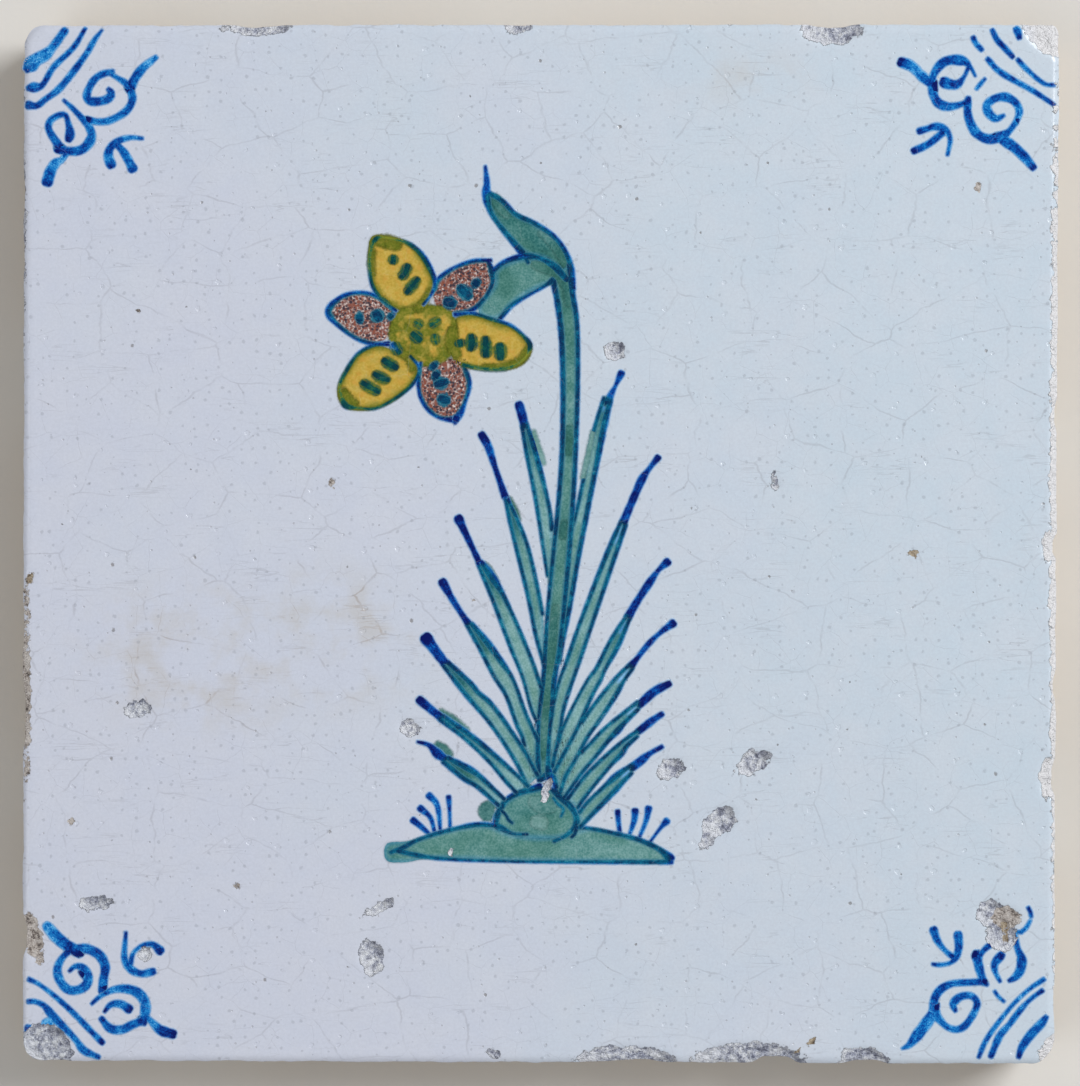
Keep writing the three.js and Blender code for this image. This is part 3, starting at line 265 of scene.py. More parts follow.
# The notches' places, lengths and depths
NOTCHES = (
    (29.6, -65.4, 3.4, 0.8), (12.0, -65.3, 4.2, 0.35), (41.0, -65.4, 3.0, 0.4), (36.6, 65.0, 3.4, 0.35),
    (-35.4, 65.0, 3.6, 0.2), (-64.9, -49.4, 3.0, 0.5), (-64.9, -22.0, 5.0, 0.3), (65.0, -0.4, 1.8, 0.5),
    (65.0, 16.0, 2.4, 0.3), (64.8, -29.5, 2.6, 0.5), (64.8, -18.0, 2.0, 0.3),
)


@dataclass(frozen=True)
class TileFace:
    """The glazed face: its outline, its unevenness and its worn places, in millimetres.

    Each side's two values say how far it lies outside the nominal square at its two ends: from the
    bottom to the top of an upright side, and from the left to the right of a level one.
    """

    half: float
    level: float
    left: tuple[float, float] = (-0.05, -0.25)
    right: tuple[float, float] = (-0.35, 0.3)
    bottom: tuple[float, float] = (0.1, 0.5)
    top: tuple[float, float] = (0.0, 0.1)
    corner_ne: float = 1.1
    corner_nw: float = 3.0
    corner_sw: float = 2.6
    corner_se: float = 3.0
    side_fade: float = 8.0
    rim_width: float = 1.1
    rim_drop: float = 0.5
    swell: float = 0.045
    scars: tuple[Scar, ...] = tuple(
        Scar(*row, kind=kind) for kind, rows in SCARS.items() for row in rows
    )
    notches: tuple[Notch, ...] = tuple(Notch(*row) for row in NOTCHES)

    def corner(self, x: Array, y: Array) -> Array:
        """Finds the worn radius of the corner nearest to each place."""
        low, high = (self.corner_sw, self.corner_se), (self.corner_nw, self.corner_ne)
        return np.where(y > 0, np.where(x > 0, high[1], high[0]), np.where(x > 0, low[1], low[0]))

    def offsets(self, x: Array, y: Array) -> tuple[Array, Array]:
        """Finds how far the two nearest sides lie outside the nominal square.

        Args:
            x: Places across.
            y: Places up.

        Returns:
            The offset of the upright side and of the level side.
        """
        up = (y / self.half + 1) / 2
        over = (x / self.half + 1) / 2
        upright = np.where(
            x < 0,
            self.left[0] + (self.left[1] - self.left[0]) * up,
            self.right[0] + (self.right[1] - self.right[0]) * up,
        )
        level = np.where(
            y < 0,
            self.bottom[0] + (self.bottom[1] - self.bottom[0]) * over,
            self.top[0] + (self.top[1] - self.top[0]) * over,
        )
        return upright, level

    def edge_distance(self, x: Array, y: Array) -> Array:
        """Measures how far places lie inside the outline.

        Args:
            x: Places across.
            y: Places up.

        Returns:
            The distance to the outline, negative outside it.
        """
        radius = self.corner(x, y)
        upright, level = self.offsets(x, y)
        qx = np.abs(x) - self.half - upright + radius
        qy = np.abs(y) - self.half - level + radius
        outside = np.hypot(np.maximum(qx, 0), np.maximum(qy, 0))
        return radius - outside - np.minimum(np.maximum(qx, qy), 0)

    def scar_distance(self, x: Array, y: Array, kinds: Iterable[ScarKind]) -> Array:
        """Measures how far places lie outside the nearest scar of some kinds.

        Args:
            x: Places across.
            y: Places up.
            kinds: The kinds of scar that count.

        Returns:
            The distance, negative inside a scar and at most FAR.
        """
        chosen = set(kinds)
        nearest = np.full(np.shape(x), FAR)
        for scar in self.scars:
            if scar.kind in chosen:
                nearest = np.minimum(nearest, scar.distance(x, y))
        return nearest

    def flake_painted_shading(self, x: Array, y: Array) -> Array:
        """Finds where places lie across the nearest flake, for its painted light from the upper right.

        Args:
            x: Places across.
            y: Places up.

        Returns:
            From about -1 at the lower left, where a highlight is painted, to 1 at the upper right, where
            shade is painted.
        """
        nearest, lean = np.full(np.shape(x), FAR), np.zeros(np.shape(x))
        for scar in self.scars:
            if scar.kind is ScarKind.FLAKE:
                distance = scar.distance(x, y)
                here = 1.3 * (x - scar.x + y - scar.y) / max(scar.across, scar.high)
                lean = np.where(distance < nearest, here, lean)
                nearest = np.minimum(nearest, distance)
        return np.clip(lean, -1, 1)

    def height(self, x: Array, y: Array, pitted: bool = True) -> Array:
        """Finds the level of the glaze.

        Args:
            x: Places across.
            y: Places up.
            pitted: Whether the worn places are sunk into it.

        Returns:
            The height above the tile's back.
        """
        level = self.level - self.swell
        level = level + self.swell * ripple(x, y, 30, 1.0) + 0.4 * self.swell * ripple(x, y, 9, 2.0)
        fall = np.clip(1 - self.edge_distance(x, y) / self.rim_width, 0, 1)
        level = level - self.rim_drop * fall**2.2
        for scar in self.scars if pitted else ():
            if scar.depth:
                level = level - scar.depth * soft_step(0.1, -0.6, scar.distance(x, y))
        return level

    def place(self, x: Array, y: Array) -> tuple[Array, Array]:
        """Moves places of the nominal square onto the worn outline.

        Args:
            x: Places across the nominal square.
            y: Places up the nominal square.

        Returns:
            The places across and up the real tile.
        """
        radius = self.corner(x, y)
        cx = np.clip(1 - (self.half - np.abs(x)) / radius, 0, 1)
        cy = np.clip(1 - (self.half - np.abs(y)) / radius, 0, 1)
        dx = self.half - np.abs(x) + radius * (cx - cx * np.sqrt(1 - cy**2 / 2))
        dy = self.half - np.abs(y) + radius * (cy - cy * np.sqrt(1 - cx**2 / 2))
        upright, level = self.offsets(x, y)
        px = np.sign(x) * (self.half - dx + upright * np.clip(1 - dx / self.side_fade, 0, 1) ** 2)
        py = np.sign(y) * (self.half - dy + level * np.clip(1 - dy / self.side_fade, 0, 1) ** 2)
        return self.roughen(px, py)

    def roughen(self, x: Array, y: Array) -> tuple[Array, Array]:
        """Bites unevenly into the outline.

        Args:
            x: Places across the tile.
            y: Places up the tile.

        Returns:
            The same places, moved inward where the edge is bitten.
        """
        bite = 0.09 + 0.05 * ripple(x, y, 1.4, 3.0) + 0.08 * ripple(x, y, 6.0, 4.0)
        for notch in self.notches:
            away = np.hypot(x - notch.x, y - notch.y) / notch.length
            bite = bite + notch.depth * soft_step(1.0, 0.35, away)
        distance = self.edge_distance(x, y)
        bite = bite * soft_step(1.4, 0.0, distance)
        return self.inset(x, y, bite)

    def inset(self, x: Array, y: Array, amount: Array | float) -> tuple[Array, Array]:
        """Moves places away from the outline.

        Args:
            x: Places across the tile.
            y: Places up the tile.
            amount: How far they move inward.

        Returns:
            The moved places.
        """
        step = 0.05
        slope_x = (self.edge_distance(x + step, y) - self.edge_distance(x - step, y)) / (2 * step)
        slope_y = (self.edge_distance(x, y + step) - self.edge_distance(x, y - step)) / (2 * step)
        return x + amount * slope_x, y + amount * slope_y


def grid_stops(half: float, spacing: float) -> Array:
    """Places grid lines across the tile, close together near its sides.

    Args:
        half: Half the tile's width.
        spacing: The distance between lines in the open face.

    Returns:
        The lines' places, from one side to the other.
    """
    near = np.array([0, 0.07, 0.16, 0.28, 0.42, 0.6, 0.82, 1.1, 1.45, 1.85, 2.3])
    open_face = np.linspace(-half + 2.8, half - 2.8, int(round(2 * (half - 2.8) / spacing)) + 1)
    return np.concatenate([near - half, open_face, half - near[::-1]])


def border(count: int) -> Array:
    """Lists the outer points of a square grid, anticlockwise from its lower left.

    Args:
        count: How many points the grid has along each side.

    Returns:
        The points' row-by-row numbers.
    """
    low = np.arange(count)
    right = low[1:] * count + count - 1
    top = (count - 1) * count + low[::-1][1:]
    left = low[::-1][1:-1] * count
    return np.concatenate([low, right, top, left])


@dataclass
class MeshDraft:
    """Points, faces and per-point marks of a mesh that is being made, in millimetres."""

    points: list[Array] = field(default_factory=list)
    faces: list[tuple[int, ...]] = field(default_factory=list)
    marks: dict[str, list[tuple[int, Array]]] = field(default_factory=dict)
    count: int = 0

    def add(self, x: Array | float, y: Array | float, z: Array | float, **marks: Array | float) -> int:
        """Adds points.

        Args:
            x: Their places across, or one that they all have.
            y: Their places up.
            z: Their heights.
            marks: A value, or one for each point, under each mark's name.

        Returns:
            The number of the first added point.
        """
        first = self.count
        points = np.column_stack(np.broadcast_arrays(x, y, z))
        self.points.append(points)
        self.count += len(points)
        for name, values in marks.items():
            self.marks.setdefault(name, []).append((first, np.broadcast_to(values, (len(points),))))
        return first

    def lattice(
        self, first: int, rows: int, columns: int, around: bool = False, flip: bool = False
    ) -> None:
        """Fills the faces between points that were added row by row.

        Args:
            first: The number of the first point.
            rows: How many rows there are.
            columns: How many points a row has.
            around: Whether each row closes on itself.
            flip: Whether the faces look the other way.
        """
        a = first + np.arange(rows - 1)[:, None] * columns
        i = np.arange(columns if around else columns - 1)[None, :]
        j = (i + 1) % columns
        quads = np.stack([a + i, a + j, a + columns + j, a + columns + i], axis=-1).reshape(-1, 4)
        self.faces.extend(map(tuple, (quads[:, ::-1] if flip else quads).tolist()))

    def bridge(self, lower: Array, upper: Array) -> None:
        """Joins two closed rings that run anticlockwise, seen from above."""
        quads = np.stack([lower, np.roll(lower, -1), np.roll(upper, -1), upper], axis=-1)
        self.faces.extend(map(tuple, quads.tolist()))

    def fan(self, ring: Array, middle: int) -> None:
        """Closes a ring toward a point in its middle."""
        self.faces.extend((int(a), int(b), middle) for a, b in zip(ring, np.roll(ring, -1)))

    def build(self, name: str, material: bpy.types.Material, smooth: bool = True) -> bpy.types.Object:
        """Makes the object.

        Args:
            name: The object's name.
            material: Its finish.
            smooth: Whether its faces are shaded smoothly.

        Returns:
            The new object, linked into the scene.
        """
        mesh = bpy.data.meshes.new(name)
        mesh.from_pydata((np.vstack(self.points) * MM).tolist(), [], self.faces)
        mesh.polygons.foreach_set("use_smooth", [smooth] * len(mesh.polygons))
        for mark, parts in self.marks.items():
            values = np.zeros(self.count, np.float32)
            for first, part in parts:
                values[first:first + len(part)] = part
            mesh.attributes.new(mark, "FLOAT", "POINT").data.foreach_set("value", values)
        mesh.materials.append(material)
        mesh.validate()
        mesh.update()
        made = bpy.data.objects.new(name, mesh)
        bpy.context.scene.collection.objects.link(made)
        return made


def enter(piece: bpy.types.Object, slot: str, *nodes: str) -> None:
    """Puts a finished piece on the tile, in place of its plain solids.

    Args:
        piece: The piece.
        slot: The name of the material slot meant for it; not used.
        nodes: The solids that it stands for.
    """
    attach(piece, BODY)
    if nodes:
        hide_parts(*nodes)
    log.info("%s: %d faces", piece.name, len(piece.data.polygons))


Feed = Socket | float | str | Sequence[float]


class NodeBench:
    """Adds nodes to one material or group, and joins them up."""

    def __init__(self, tree: bpy.types.NodeTree) -> None:
        """Keeps the tree that the nodes go into."""
        self.tree = tree

    def add(self, kind: str, **settings: object) -> bpy.types.Node:
        """Adds a node.

        Args:
            kind: Its type.
            settings: Its properties.

        Returns:
            The node.
        """
        node = self.tree.nodes.new(kind)
        for name, value in settings.items():
            setattr(node, name, value)
        return node

    def feed(self, socket: Socket, value: Feed) -> None:
        """Links an output to a socket, or sets the socket to a value.

        Args:
            socket: The socket that takes it.
            value: An output, a number or a screen colour.
        """
        if isinstance(value, Socket):
            self.tree.links.new(value, socket)
        else:
            socket.default_value = srgb(value) if isinstance(value, str) else value

    def maths(self, operation: str, *values: Feed) -> Socket:
        """Adds a Math node.

        Args:
            operation: What it does.
            values: Its inputs, in order.

        Returns:
            Its output.
        """
        node = self.add("ShaderNodeMath", operation=operation)
        for socket, value in zip(node.inputs, values):
            self.feed(socket, value)
        return node.outputs[0]

    def times(self, a: Feed, b: Feed) -> Socket:
        """Multiplies two values."""
        return self.maths("MULTIPLY", a, b)

    def total(self, *terms: tuple[Feed, float]) -> Socket:
        """Adds up values, each times a number.

        Args:
            terms: Pairs of a value and its share.

        Returns:
            The sum.
        """
        result: Feed = 0.0
        for value, share in terms:
            result = self.maths("MULTIPLY_ADD", value, share, result)
        return result

    def step(self, value: Feed, low: Feed, high: Feed, start: Feed = 0.0, end: Feed = 1.0) -> Socket:
        """Rises smoothly between two values.

        Args:
            value: What is looked up.
            low: Where the rise starts.
            high: Where it ends.
            start: The result at low.
            end: The result at high.

        Returns:
            The step.
        """
        node = self.add("ShaderNodeMapRange", interpolation_type="SMOOTHSTEP")
        for socket, item in zip(node.inputs, (value, low, high, start, end)):
            self.feed(socket, item)
        return node.outputs[0]

    def mix(self, share: Feed, a: Feed, b: Feed) -> Socket:
        """Mixes two colours.

        Args:
            share: How much of the second one shows.
            a: The first colour.
            b: The second colour.

        Returns:
            The mixed colour.
        """
        node = self.add("ShaderNodeMix", data_type="RGBA")
        self.feed(node.inputs[0], share)
        self.feed(node.inputs[6], a)
        self.feed(node.inputs[7], b)
        return node.outputs[2]

    def ramp(self, value: Feed, *stops: tuple[float, str]) -> Socket:
        """Turns a value into a colour.

        Args:
            value: The value, from 0 to 1.
            stops: Places along the ramp with their screen colours.

        Returns:
            The colour.
        """
        node = self.add("ShaderNodeValToRGB")
        elements = node.color_ramp.elements
        while len(elements) < len(stops):
            elements.new(0.5)
        for element, (at, code) in zip(elements, stops):
            element.position = at
            element.color = srgb(code)
        self.feed(node.inputs[0], value)
        return node.outputs[0]

    def noise(self, place: Feed, size: Feed, detail: float = 3.0, rough: float = 0.55) -> Socket:
        """Adds soft noise.

        Args:
            place: Where it is looked up, in millimetres.
            size: How large its clouds are, in millimetres.
            detail: How many finer layers it has.
            rough: How strong those are.

        Returns:
            Its value, about 0.5.
        """
        node = self.add("ShaderNodeTexNoise")
        self.feed(node.inputs["Vector"], place)
        rate = self.maths("DIVIDE", 1.0, size) if isinstance(size, Socket) else 1.0 / size
        self.feed(node.inputs["Scale"], rate)
        node.inputs["Detail"].default_value = detail
        node.inputs["Roughness"].default_value = rough
        return node.outputs[0]

    def cells(self, place: Feed, size: Feed, feature: str = "F1") -> bpy.types.Node:
        """Adds a pattern of cells.

        Args:
            place: Where it is looked up, in millimetres.
            size: How wide a cell is, in millimetres.
            feature: Which distance it measures.

        Returns:
            The node, whose distances are in cells.
        """
        node = self.add("ShaderNodeTexVoronoi", feature=feature, voronoi_dimensions="2D")
        self.feed(node.inputs["Vector"], place)
        rate = self.maths("DIVIDE", 1.0, size) if isinstance(size, Socket) else 1.0 / size
        self.feed(node.inputs["Scale"], rate)
        return node

    def mark(self, name: str) -> Socket:
        """Reads a per-point mark of the mesh."""
        return self.add("ShaderNodeAttribute", attribute_name=name).outputs["Fac"]

    def place(self) -> Socket:
        """Finds where a point lies on the tile, in millimetres.

        Returns:
            The place, as a vector.
        """
        node = self.add("ShaderNodeVectorMath", operation="SCALE")
        self.feed(node.inputs[0], self.add("ShaderNodeTexCoord").outputs["Object"])
        node.inputs["Scale"].default_value = 1 / MM
        return node.outputs[0]

    def stretched(self, place: Feed, across: float, up: float) -> Socket:
        """Squeezes a place, so that what is looked up there comes out long.

        Args:
            place: The place.
            across: What its x is multiplied by.
            up: What its y is multiplied by.

        Returns:
            The squeezed place.
        """
        node = self.add("ShaderNodeVectorMath", operation="MULTIPLY")
        self.feed(node.inputs[0], place)
        node.inputs[1].default_value = (across, up, 1.0)
        return node.outputs[0]

    def turned(self, place: Feed) -> Socket:
        """Turns a place, so that a flat pattern looked up there crosses every side of the slab.

        Args:
            place: The place.

        Returns:
            The turned place.
        """
        node = self.add("ShaderNodeMapping")
        self.feed(node.inputs["Vector"], place)
        node.inputs["Rotation"].default_value = (0.7, 0.6, 0.3)
        return node.outputs[0]

    def bump(self, height: Feed, strength: float = 1.0) -> Socket:
        """Tilts the surface by a height.

        Args:
            height: The height, in millimetres.
            strength: How much of it shows.

        Returns:
            The tilted normal.
        """
        node = self.add("ShaderNodeBump")
        node.inputs["Strength"].default_value = strength
        node.inputs["Distance"].default_value = MM
        self.feed(node.inputs["Height"], height)
        return node.outputs[0]


class SharedEffect:
    """A shader node group that is built once and placed in each material that needs it.

    It takes a place on the tile and the named numbers, and gives values.
    """

    title = ""
    takes: dict[str, float] = {}
    gives: tuple[str, ...] = ()

    def wire(self, bench: NodeBench, taken: dict[str, Socket]) -> dict[str, Feed]:
        """Builds the group's inside."""
        raise NotImplementedError

    def tree(self) -> bpy.types.NodeTree:
        """Finds the group, or builds it the first time.

        Returns:
            The node group.
        """
        known = bpy.data.node_groups.get(self.title)
        if known:
            return known
        tree = bpy.data.node_groups.new(self.title, "ShaderNodeTree")
        tree.interface.new_socket("Place", in_out="INPUT", socket_type="NodeSocketVector")
        for name, usual in self.takes.items():
            socket = tree.interface.new_socket(name, in_out="INPUT", socket_type="NodeSocketFloat")
            socket.default_value = usual
        for name in self.gives:
            tree.interface.new_socket(name, in_out="OUTPUT", socket_type="NodeSocketFloat")
        bench = NodeBench(tree)
        inlet = bench.add("NodeGroupInput")
        outlet = bench.add("NodeGroupOutput")
        taken = {name: inlet.outputs[name] for name in ("Place", *self.takes)}
        for name, value in self.wire(bench, taken).items():
            bench.feed(outlet.inputs[name], value)
        return tree

    def put(self, bench: NodeBench, **values: Feed) -> dict[str, Socket]:
        """Places the group in a tree.

        Args:
            bench: The tree that it goes into.
            values: What each input takes, with the input's name in lower case.

        Returns:
            Its outputs by name.
        """
        node = bench.add("ShaderNodeGroup", node_tree=self.tree())
        for name, value in values.items():
            bench.feed(node.inputs[name.capitalize()], value)
        return {name: node.outputs[name] for name in self.gives}


class RaggedEdge(SharedEffect):
    """Ends a colour along a wandering, grainy line."""

    title = "Ragged edge"
    takes = {"Distance": 0.0, "Size": 0.5, "Depth": 0.05, "Softness": 0.05}
    gives = ("Cover", "Wandered")

    def wire(self, bench: NodeBench, taken: dict[str, Socket]) -> dict[str, Feed]:
        """Builds the group's inside.

        Args:
            bench: The group's tree.
            taken: The group's inputs by name.

        Returns:
            What goes to each output.
        """
        broad = bench.noise(taken["Place"], taken["Size"], 4.0, 0.6)
        wobble = bench.times(bench.maths("SUBTRACT", broad, 0.5), 3.2)
        wandered = bench.maths("MULTIPLY_ADD", wobble, taken["Depth"], taken["Distance"])
        low = bench.times(taken["Softness"], -1.0)
        return {"Cover": bench.step(wandered, low, taken["Softness"]), "Wandered": wandered}


class BrushMottle(SharedEffect):
    """The cloudy, grainy unevenness of colour laid on with a wet brush."""

    title = "Brush mottle"
    takes = {"Size": 1.2, "Grain": 0.16}
    gives = ("Cloud", "Speck")

    def wire(self, bench: NodeBench, taken: dict[str, Socket]) -> dict[str, Feed]:
        """Builds the group's inside.

        Args:
            bench: The group's tree.
            taken: The group's inputs by name.

        Returns:
            What goes to each output.
        """
        cloud = bench.noise(taken["Place"], taken["Size"], 3.0, 0.6)
        speck = bench.noise(taken["Place"], taken["Grain"], 2.0, 0.7)
        return {"Cloud": bench.step(cloud, 0.25, 0.75), "Speck": bench.step(speck, 0.3, 0.7)}


class CrazeLines(SharedEffect):
    """The net of hairline cracks in an old glaze."""

    title = "Craze lines"
    takes = {"Size": 10.0, "Width": 0.08}
    gives = ("Line",)

    def wire(self, bench: NodeBench, taken: dict[str, Socket]) -> dict[str, Feed]:
        """Builds the group's inside.

        Args:
            bench: The group's tree.
            taken: The group's inputs by name.

        Returns:
            What goes to each output.
        """
        warp = bench.add("ShaderNodeTexNoise")
        bench.feed(warp.inputs["Vector"], taken["Place"])
        bench.feed(warp.inputs["Scale"], bench.maths("DIVIDE", 2.2, taken["Size"]))
        warp.inputs["Detail"].default_value = 4.0
        shift = bench.add("ShaderNodeVectorMath", operation="MULTIPLY_ADD")
        bench.feed(shift.inputs[0], warp.outputs["Color"])
        span = bench.add("ShaderNodeCombineXYZ")
        reach = bench.times(taken["Size"], 0.24)
        bench.feed(span.inputs[0], reach)
        bench.feed(span.inputs[1], reach)
        bench.feed(shift.inputs[1], span.outputs[0])
        bench.feed(shift.inputs[2], taken["Place"])
        net = bench.cells(shift.outputs[0], taken["Size"], "DISTANCE_TO_EDGE")
        away = bench.times(net.outputs["Distance"], taken["Size"])
        fade = bench.step(bench.noise(taken["Place"], 4.0, 3.0), 0.38, 0.66)
        return {"Line": bench.times(bench.step(away, taken["Width"], 0.0), fade)}


class Pinholes(SharedEffect):
    """Scattered specks where bubbles burst in the kiln."""

    title = "Pinholes"
    takes = {"Size": 3.0, "Radius": 0.2, "Share": 0.3}
    gives = ("Spot",)

    def wire(self, bench: NodeBench, taken: dict[str, Socket]) -> dict[str, Feed]:
        """Builds the group's inside.

        Args:
            bench: The group's tree.
            taken: The group's inputs by name.

        Returns:
            What goes to each output.
        """
        net = bench.cells(taken["Place"], taken["Size"])
        ragged = bench.maths("SUBTRACT", bench.noise(taken["Place"], 0.4, 2.0), 0.5)
        away = bench.times(net.outputs["Distance"], taken["Size"])
        away = bench.total((away, 1.0), (bench.times(ragged, taken["Radius"]), 1.6))
        chance = bench.add("ShaderNodeSeparateColor")
        bench.feed(chance.inputs[0], net.outputs["Color"])
        radius = bench.times(taken["Radius"], bench.step(chance.outputs[1], 0.0, 1.0, 0.35, 1.0))
        spot = bench.step(away, radius, bench.times(radius, 0.35))
        chosen = bench.maths("LESS_THAN", chance.outputs[0], taken["Share"])
        return {"Spot": bench.times(spot, chosen)}


class ClayGrain(SharedEffect):
    """The sandy, pitted grain of fired clay and of broken glaze."""

    title = "Clay grain"
    takes = {"Size": 1.0}
    gives = ("Tone", "Height")

    def wire(self, bench: NodeBench, taken: dict[str, Socket]) -> dict[str, Feed]:
        """Builds the group's inside.

        Args:
            bench: The group's tree.
            taken: The group's inputs by name.

        Returns:
            What goes to each output.
        """
        broad = bench.noise(taken["Place"], taken["Size"], 6.0, 0.65)
        fine = bench.noise(taken["Place"], bench.times(taken["Size"], 0.22), 3.0, 0.7)
        tone = bench.step(bench.total((broad, 0.7), (fine, 0.3)), 0.34, 0.66)
        return {"Tone": tone, "Height": bench.total((broad, 0.6), (fine, 0.4))}


class WornEdge(SharedEffect):
    """The broken edge of a place where glaze and paint have flaked off."""

    title = "Worn edge"
    takes = {"Outside": 3.0}
    gives = ("Cover", "Rim")

    def wire(self, bench: NodeBench, taken: dict[str, Socket]) -> dict[str, Feed]:
        """Builds the group's inside.

        Args:
            bench: The group's tree.
            taken: The group's inputs by name.

        Returns:
            What goes to each output.
        """
        broad = bench.total((bench.noise(taken["Place"], 1.1, 4.0, 0.6), 1.7), (1.0, -0.9))
        away = bench.maths("MULTIPLY_ADD", taken["Outside"], -1.0, broad)
        rim = bench.step(bench.maths("ABSOLUTE", away), 0.14, 0.02)
        return {"Cover": bench.step(away, -0.04, 0.04), "Rim": rim}


RAGGED = RaggedEdge()
WORN = WornEdge()
MOTTLE = BrushMottle()
CRAZE = CrazeLines()
PINHOLES = Pinholes()
GRAIN = ClayGrain()


@dataclass(frozen=True)
class Finish:
    """A finish of the tile: the start of a material, which each kind completes."""

    title: str
    roughness: float

    def material(self) -> bpy.types.Material:
        """Makes the material.

        Returns:
            The finished material.
        """
        made = bpy.data.materials.new(self.title)
        made.use_nodes = True
        shader = made.node_tree.nodes["Principled BSDF"]
        shader.inputs["Roughness"].default_value = self.roughness
        self.dress(NodeBench(made.node_tree), shader)
        return made

    def dress(self, bench: NodeBench, shader: bpy.types.Node) -> None:
        """Wires the finish into its shader."""
        raise NotImplementedError


@dataclass(frozen=True)
class WhiteGlaze(Finish):
    """Opaque white tin glaze: crazed, pinholed, chipped, and worn to the clay in places."""

    left_white: str = "#d0d6e6"
    right_white: str = "#cad9e6"
    craze_tone: str = "#8d8c92"
    dirt_tone: str = "#9c8468"
    craze_show: float = 0.27

    def dress(self, bench: NodeBench, shader: bpy.types.Node) -> None:
        """Wires the finish into its shader.

        Args:
            bench: The material's tree.
            shader: The material's Principled BSDF.
        """
        # The white ground
        place = bench.place()
        axes = bench.add("ShaderNodeSeparateXYZ")
        bench.feed(axes.inputs[0], place)
        drift = bench.total(
            (axes.outputs[0], 0.011), (axes.outputs[1], 0.004), (bench.noise(place, 20.0), 1.2),
            (1.0, -0.25),
        )
        white = bench.mix(bench.step(drift, -0.3, 1.0), self.left_white, self.right_white)
        cloud = MOTTLE.put(bench, place=place, size=5.0, grain=0.36)
        white = bench.mix(bench.times(cloud["Cloud"], 0.3), white, "#dcdee6")
        white = bench.mix(bench.times(cloud["Speck"], 0.2), white, "#b9bdca")

        # Stains, crazing and scuffs
        stain = bench.times(bench.mark("stain"), bench.step(bench.noise(place, 5.0, 5.0), 0.4, 0.7))
        wide = CRAZE.put(bench, place=bench.stretched(place, 0.8, 1.15), size=7.5, width=0.18)
        fine = CRAZE.put(bench, place=place, size=3.4, width=0.07)
        lines = bench.maths("MAXIMUM", wide["Line"], bench.times(fine["Line"], 0.7))
        level = bench.noise(bench.stretched(place, 0.13, 1.5), 1.3, 2.0)
        scuff = bench.step(bench.maths("ABSOLUTE", bench.maths("SUBTRACT", level, 0.5)), 0.02, 0.006)
        short = bench.step(bench.noise(bench.stretched(place, 0.5, 1.0), 4.0, 2.0), 0.5, 0.72)
        scuff = bench.times(scuff, bench.total((short, 0.9), (bench.mark("stain"), 0.15)))
        lines = bench.maths("MAXIMUM", lines, scuff)
        line_tone = bench.mix(stain, self.craze_tone, self.dirt_tone)
        white = bench.mix(bench.times(stain, 0.34), white, "#b8b0a0")
        show = bench.total((stain, 0.3), (1.0, self.craze_show))
        white = bench.mix(bench.times(lines, show), white, line_tone)

        # Pinholes, specks and dents
        small = PINHOLES.put(bench, place=place, size=2.6, radius=0.17, share=0.34)
        large = PINHOLES.put(bench, place=place, size=9.0, radius=0.3, share=0.36)
        dents = PINHOLES.put(bench, place=place, size=3.7, radius=0.42, share=0.42)
        spots = bench.maths("MAXIMUM", bench.times(small["Spot"], 0.5), large["Spot"])
        white = bench.mix(bench.times(spots, 0.66), white, "#77716f")
        faint = PINHOLES.put(bench, place=place, size=1.5, radius=0.3, share=0.5)
        white = bench.mix(bench.times(faint["Spot"], 0.32), white, "#8f949e")

        # Places where the glaze has gone, with painted highlight and painted shade in the flakes, and the
        # chips along the right side whitened as a painted highlight
        grain = GRAIN.put(bench, place=place, size=0.8)
        shell = bench.noise(place, 1.0, 3.0, 0.6)
        ridge = bench.maths("ABSOLUTE", bench.maths("SUBTRACT", shell, 0.5))
        cracks = bench.step(ridge, 0.05, 0.008, 0.0, 0.24)
        # Painted highlight: the chips along the right side are whitened where the light from the right
        # falls on that edge
        outer = bench.step(axes.outputs[0], 60.6, 63.0, 0.0, 0.92)
        lean = bench.total((bench.mark("lean"), 1.0), (bench.noise(place, 0.7, 3.0), 1.2), (1.0, -0.6))
        colour, worn = white, 0.0
        tones = {
            "flake": ("#6c7084", "#acb2c6", "#f4f8ff"),
            "grime": ("#57504c", "#b3a9a2", "#dcd6d1"),
            "clay": ("#5c5042", "#9c8b74", "#c6b9a4"),
        }
        for kind, (low, middle, high) in tones.items():
            edge = WORN.put(bench, place=place, outside=bench.mark(kind))
            body = bench.ramp(grain["Tone"], (0.05, low), (0.3, middle), (0.8, high))
            body = bench.mix(cracks, body, "#57545c")
            if kind == "flake":
                # Painted highlight on each flake's lower left and painted shade on its upper right, as
                # light from the upper right falls
                body = bench.mix(bench.step(lean, -0.1, -0.65, 0.0, 0.85), body, "#f2f6ff")
                body = bench.mix(bench.step(lean, 0.15, 0.8, 0.0, 0.6), body, "#686c7a")
                # Painted highlight on the chips along the right side
                body = bench.mix(outer, body, "#f8f8fb")
                glassy = edge["Cover"]
            rim = bench.times(edge["Rim"], bench.step(bench.noise(place, 1.1), 0.45, 0.65, 0.0, 0.32))
            colour = bench.mix(rim, colour, "#8c8b90")
            colour = bench.mix(edge["Cover"], colour, body)
            worn = bench.maths("MAXIMUM", worn, edge["Cover"])
        bench.feed(shader.inputs["Base Color"], colour)

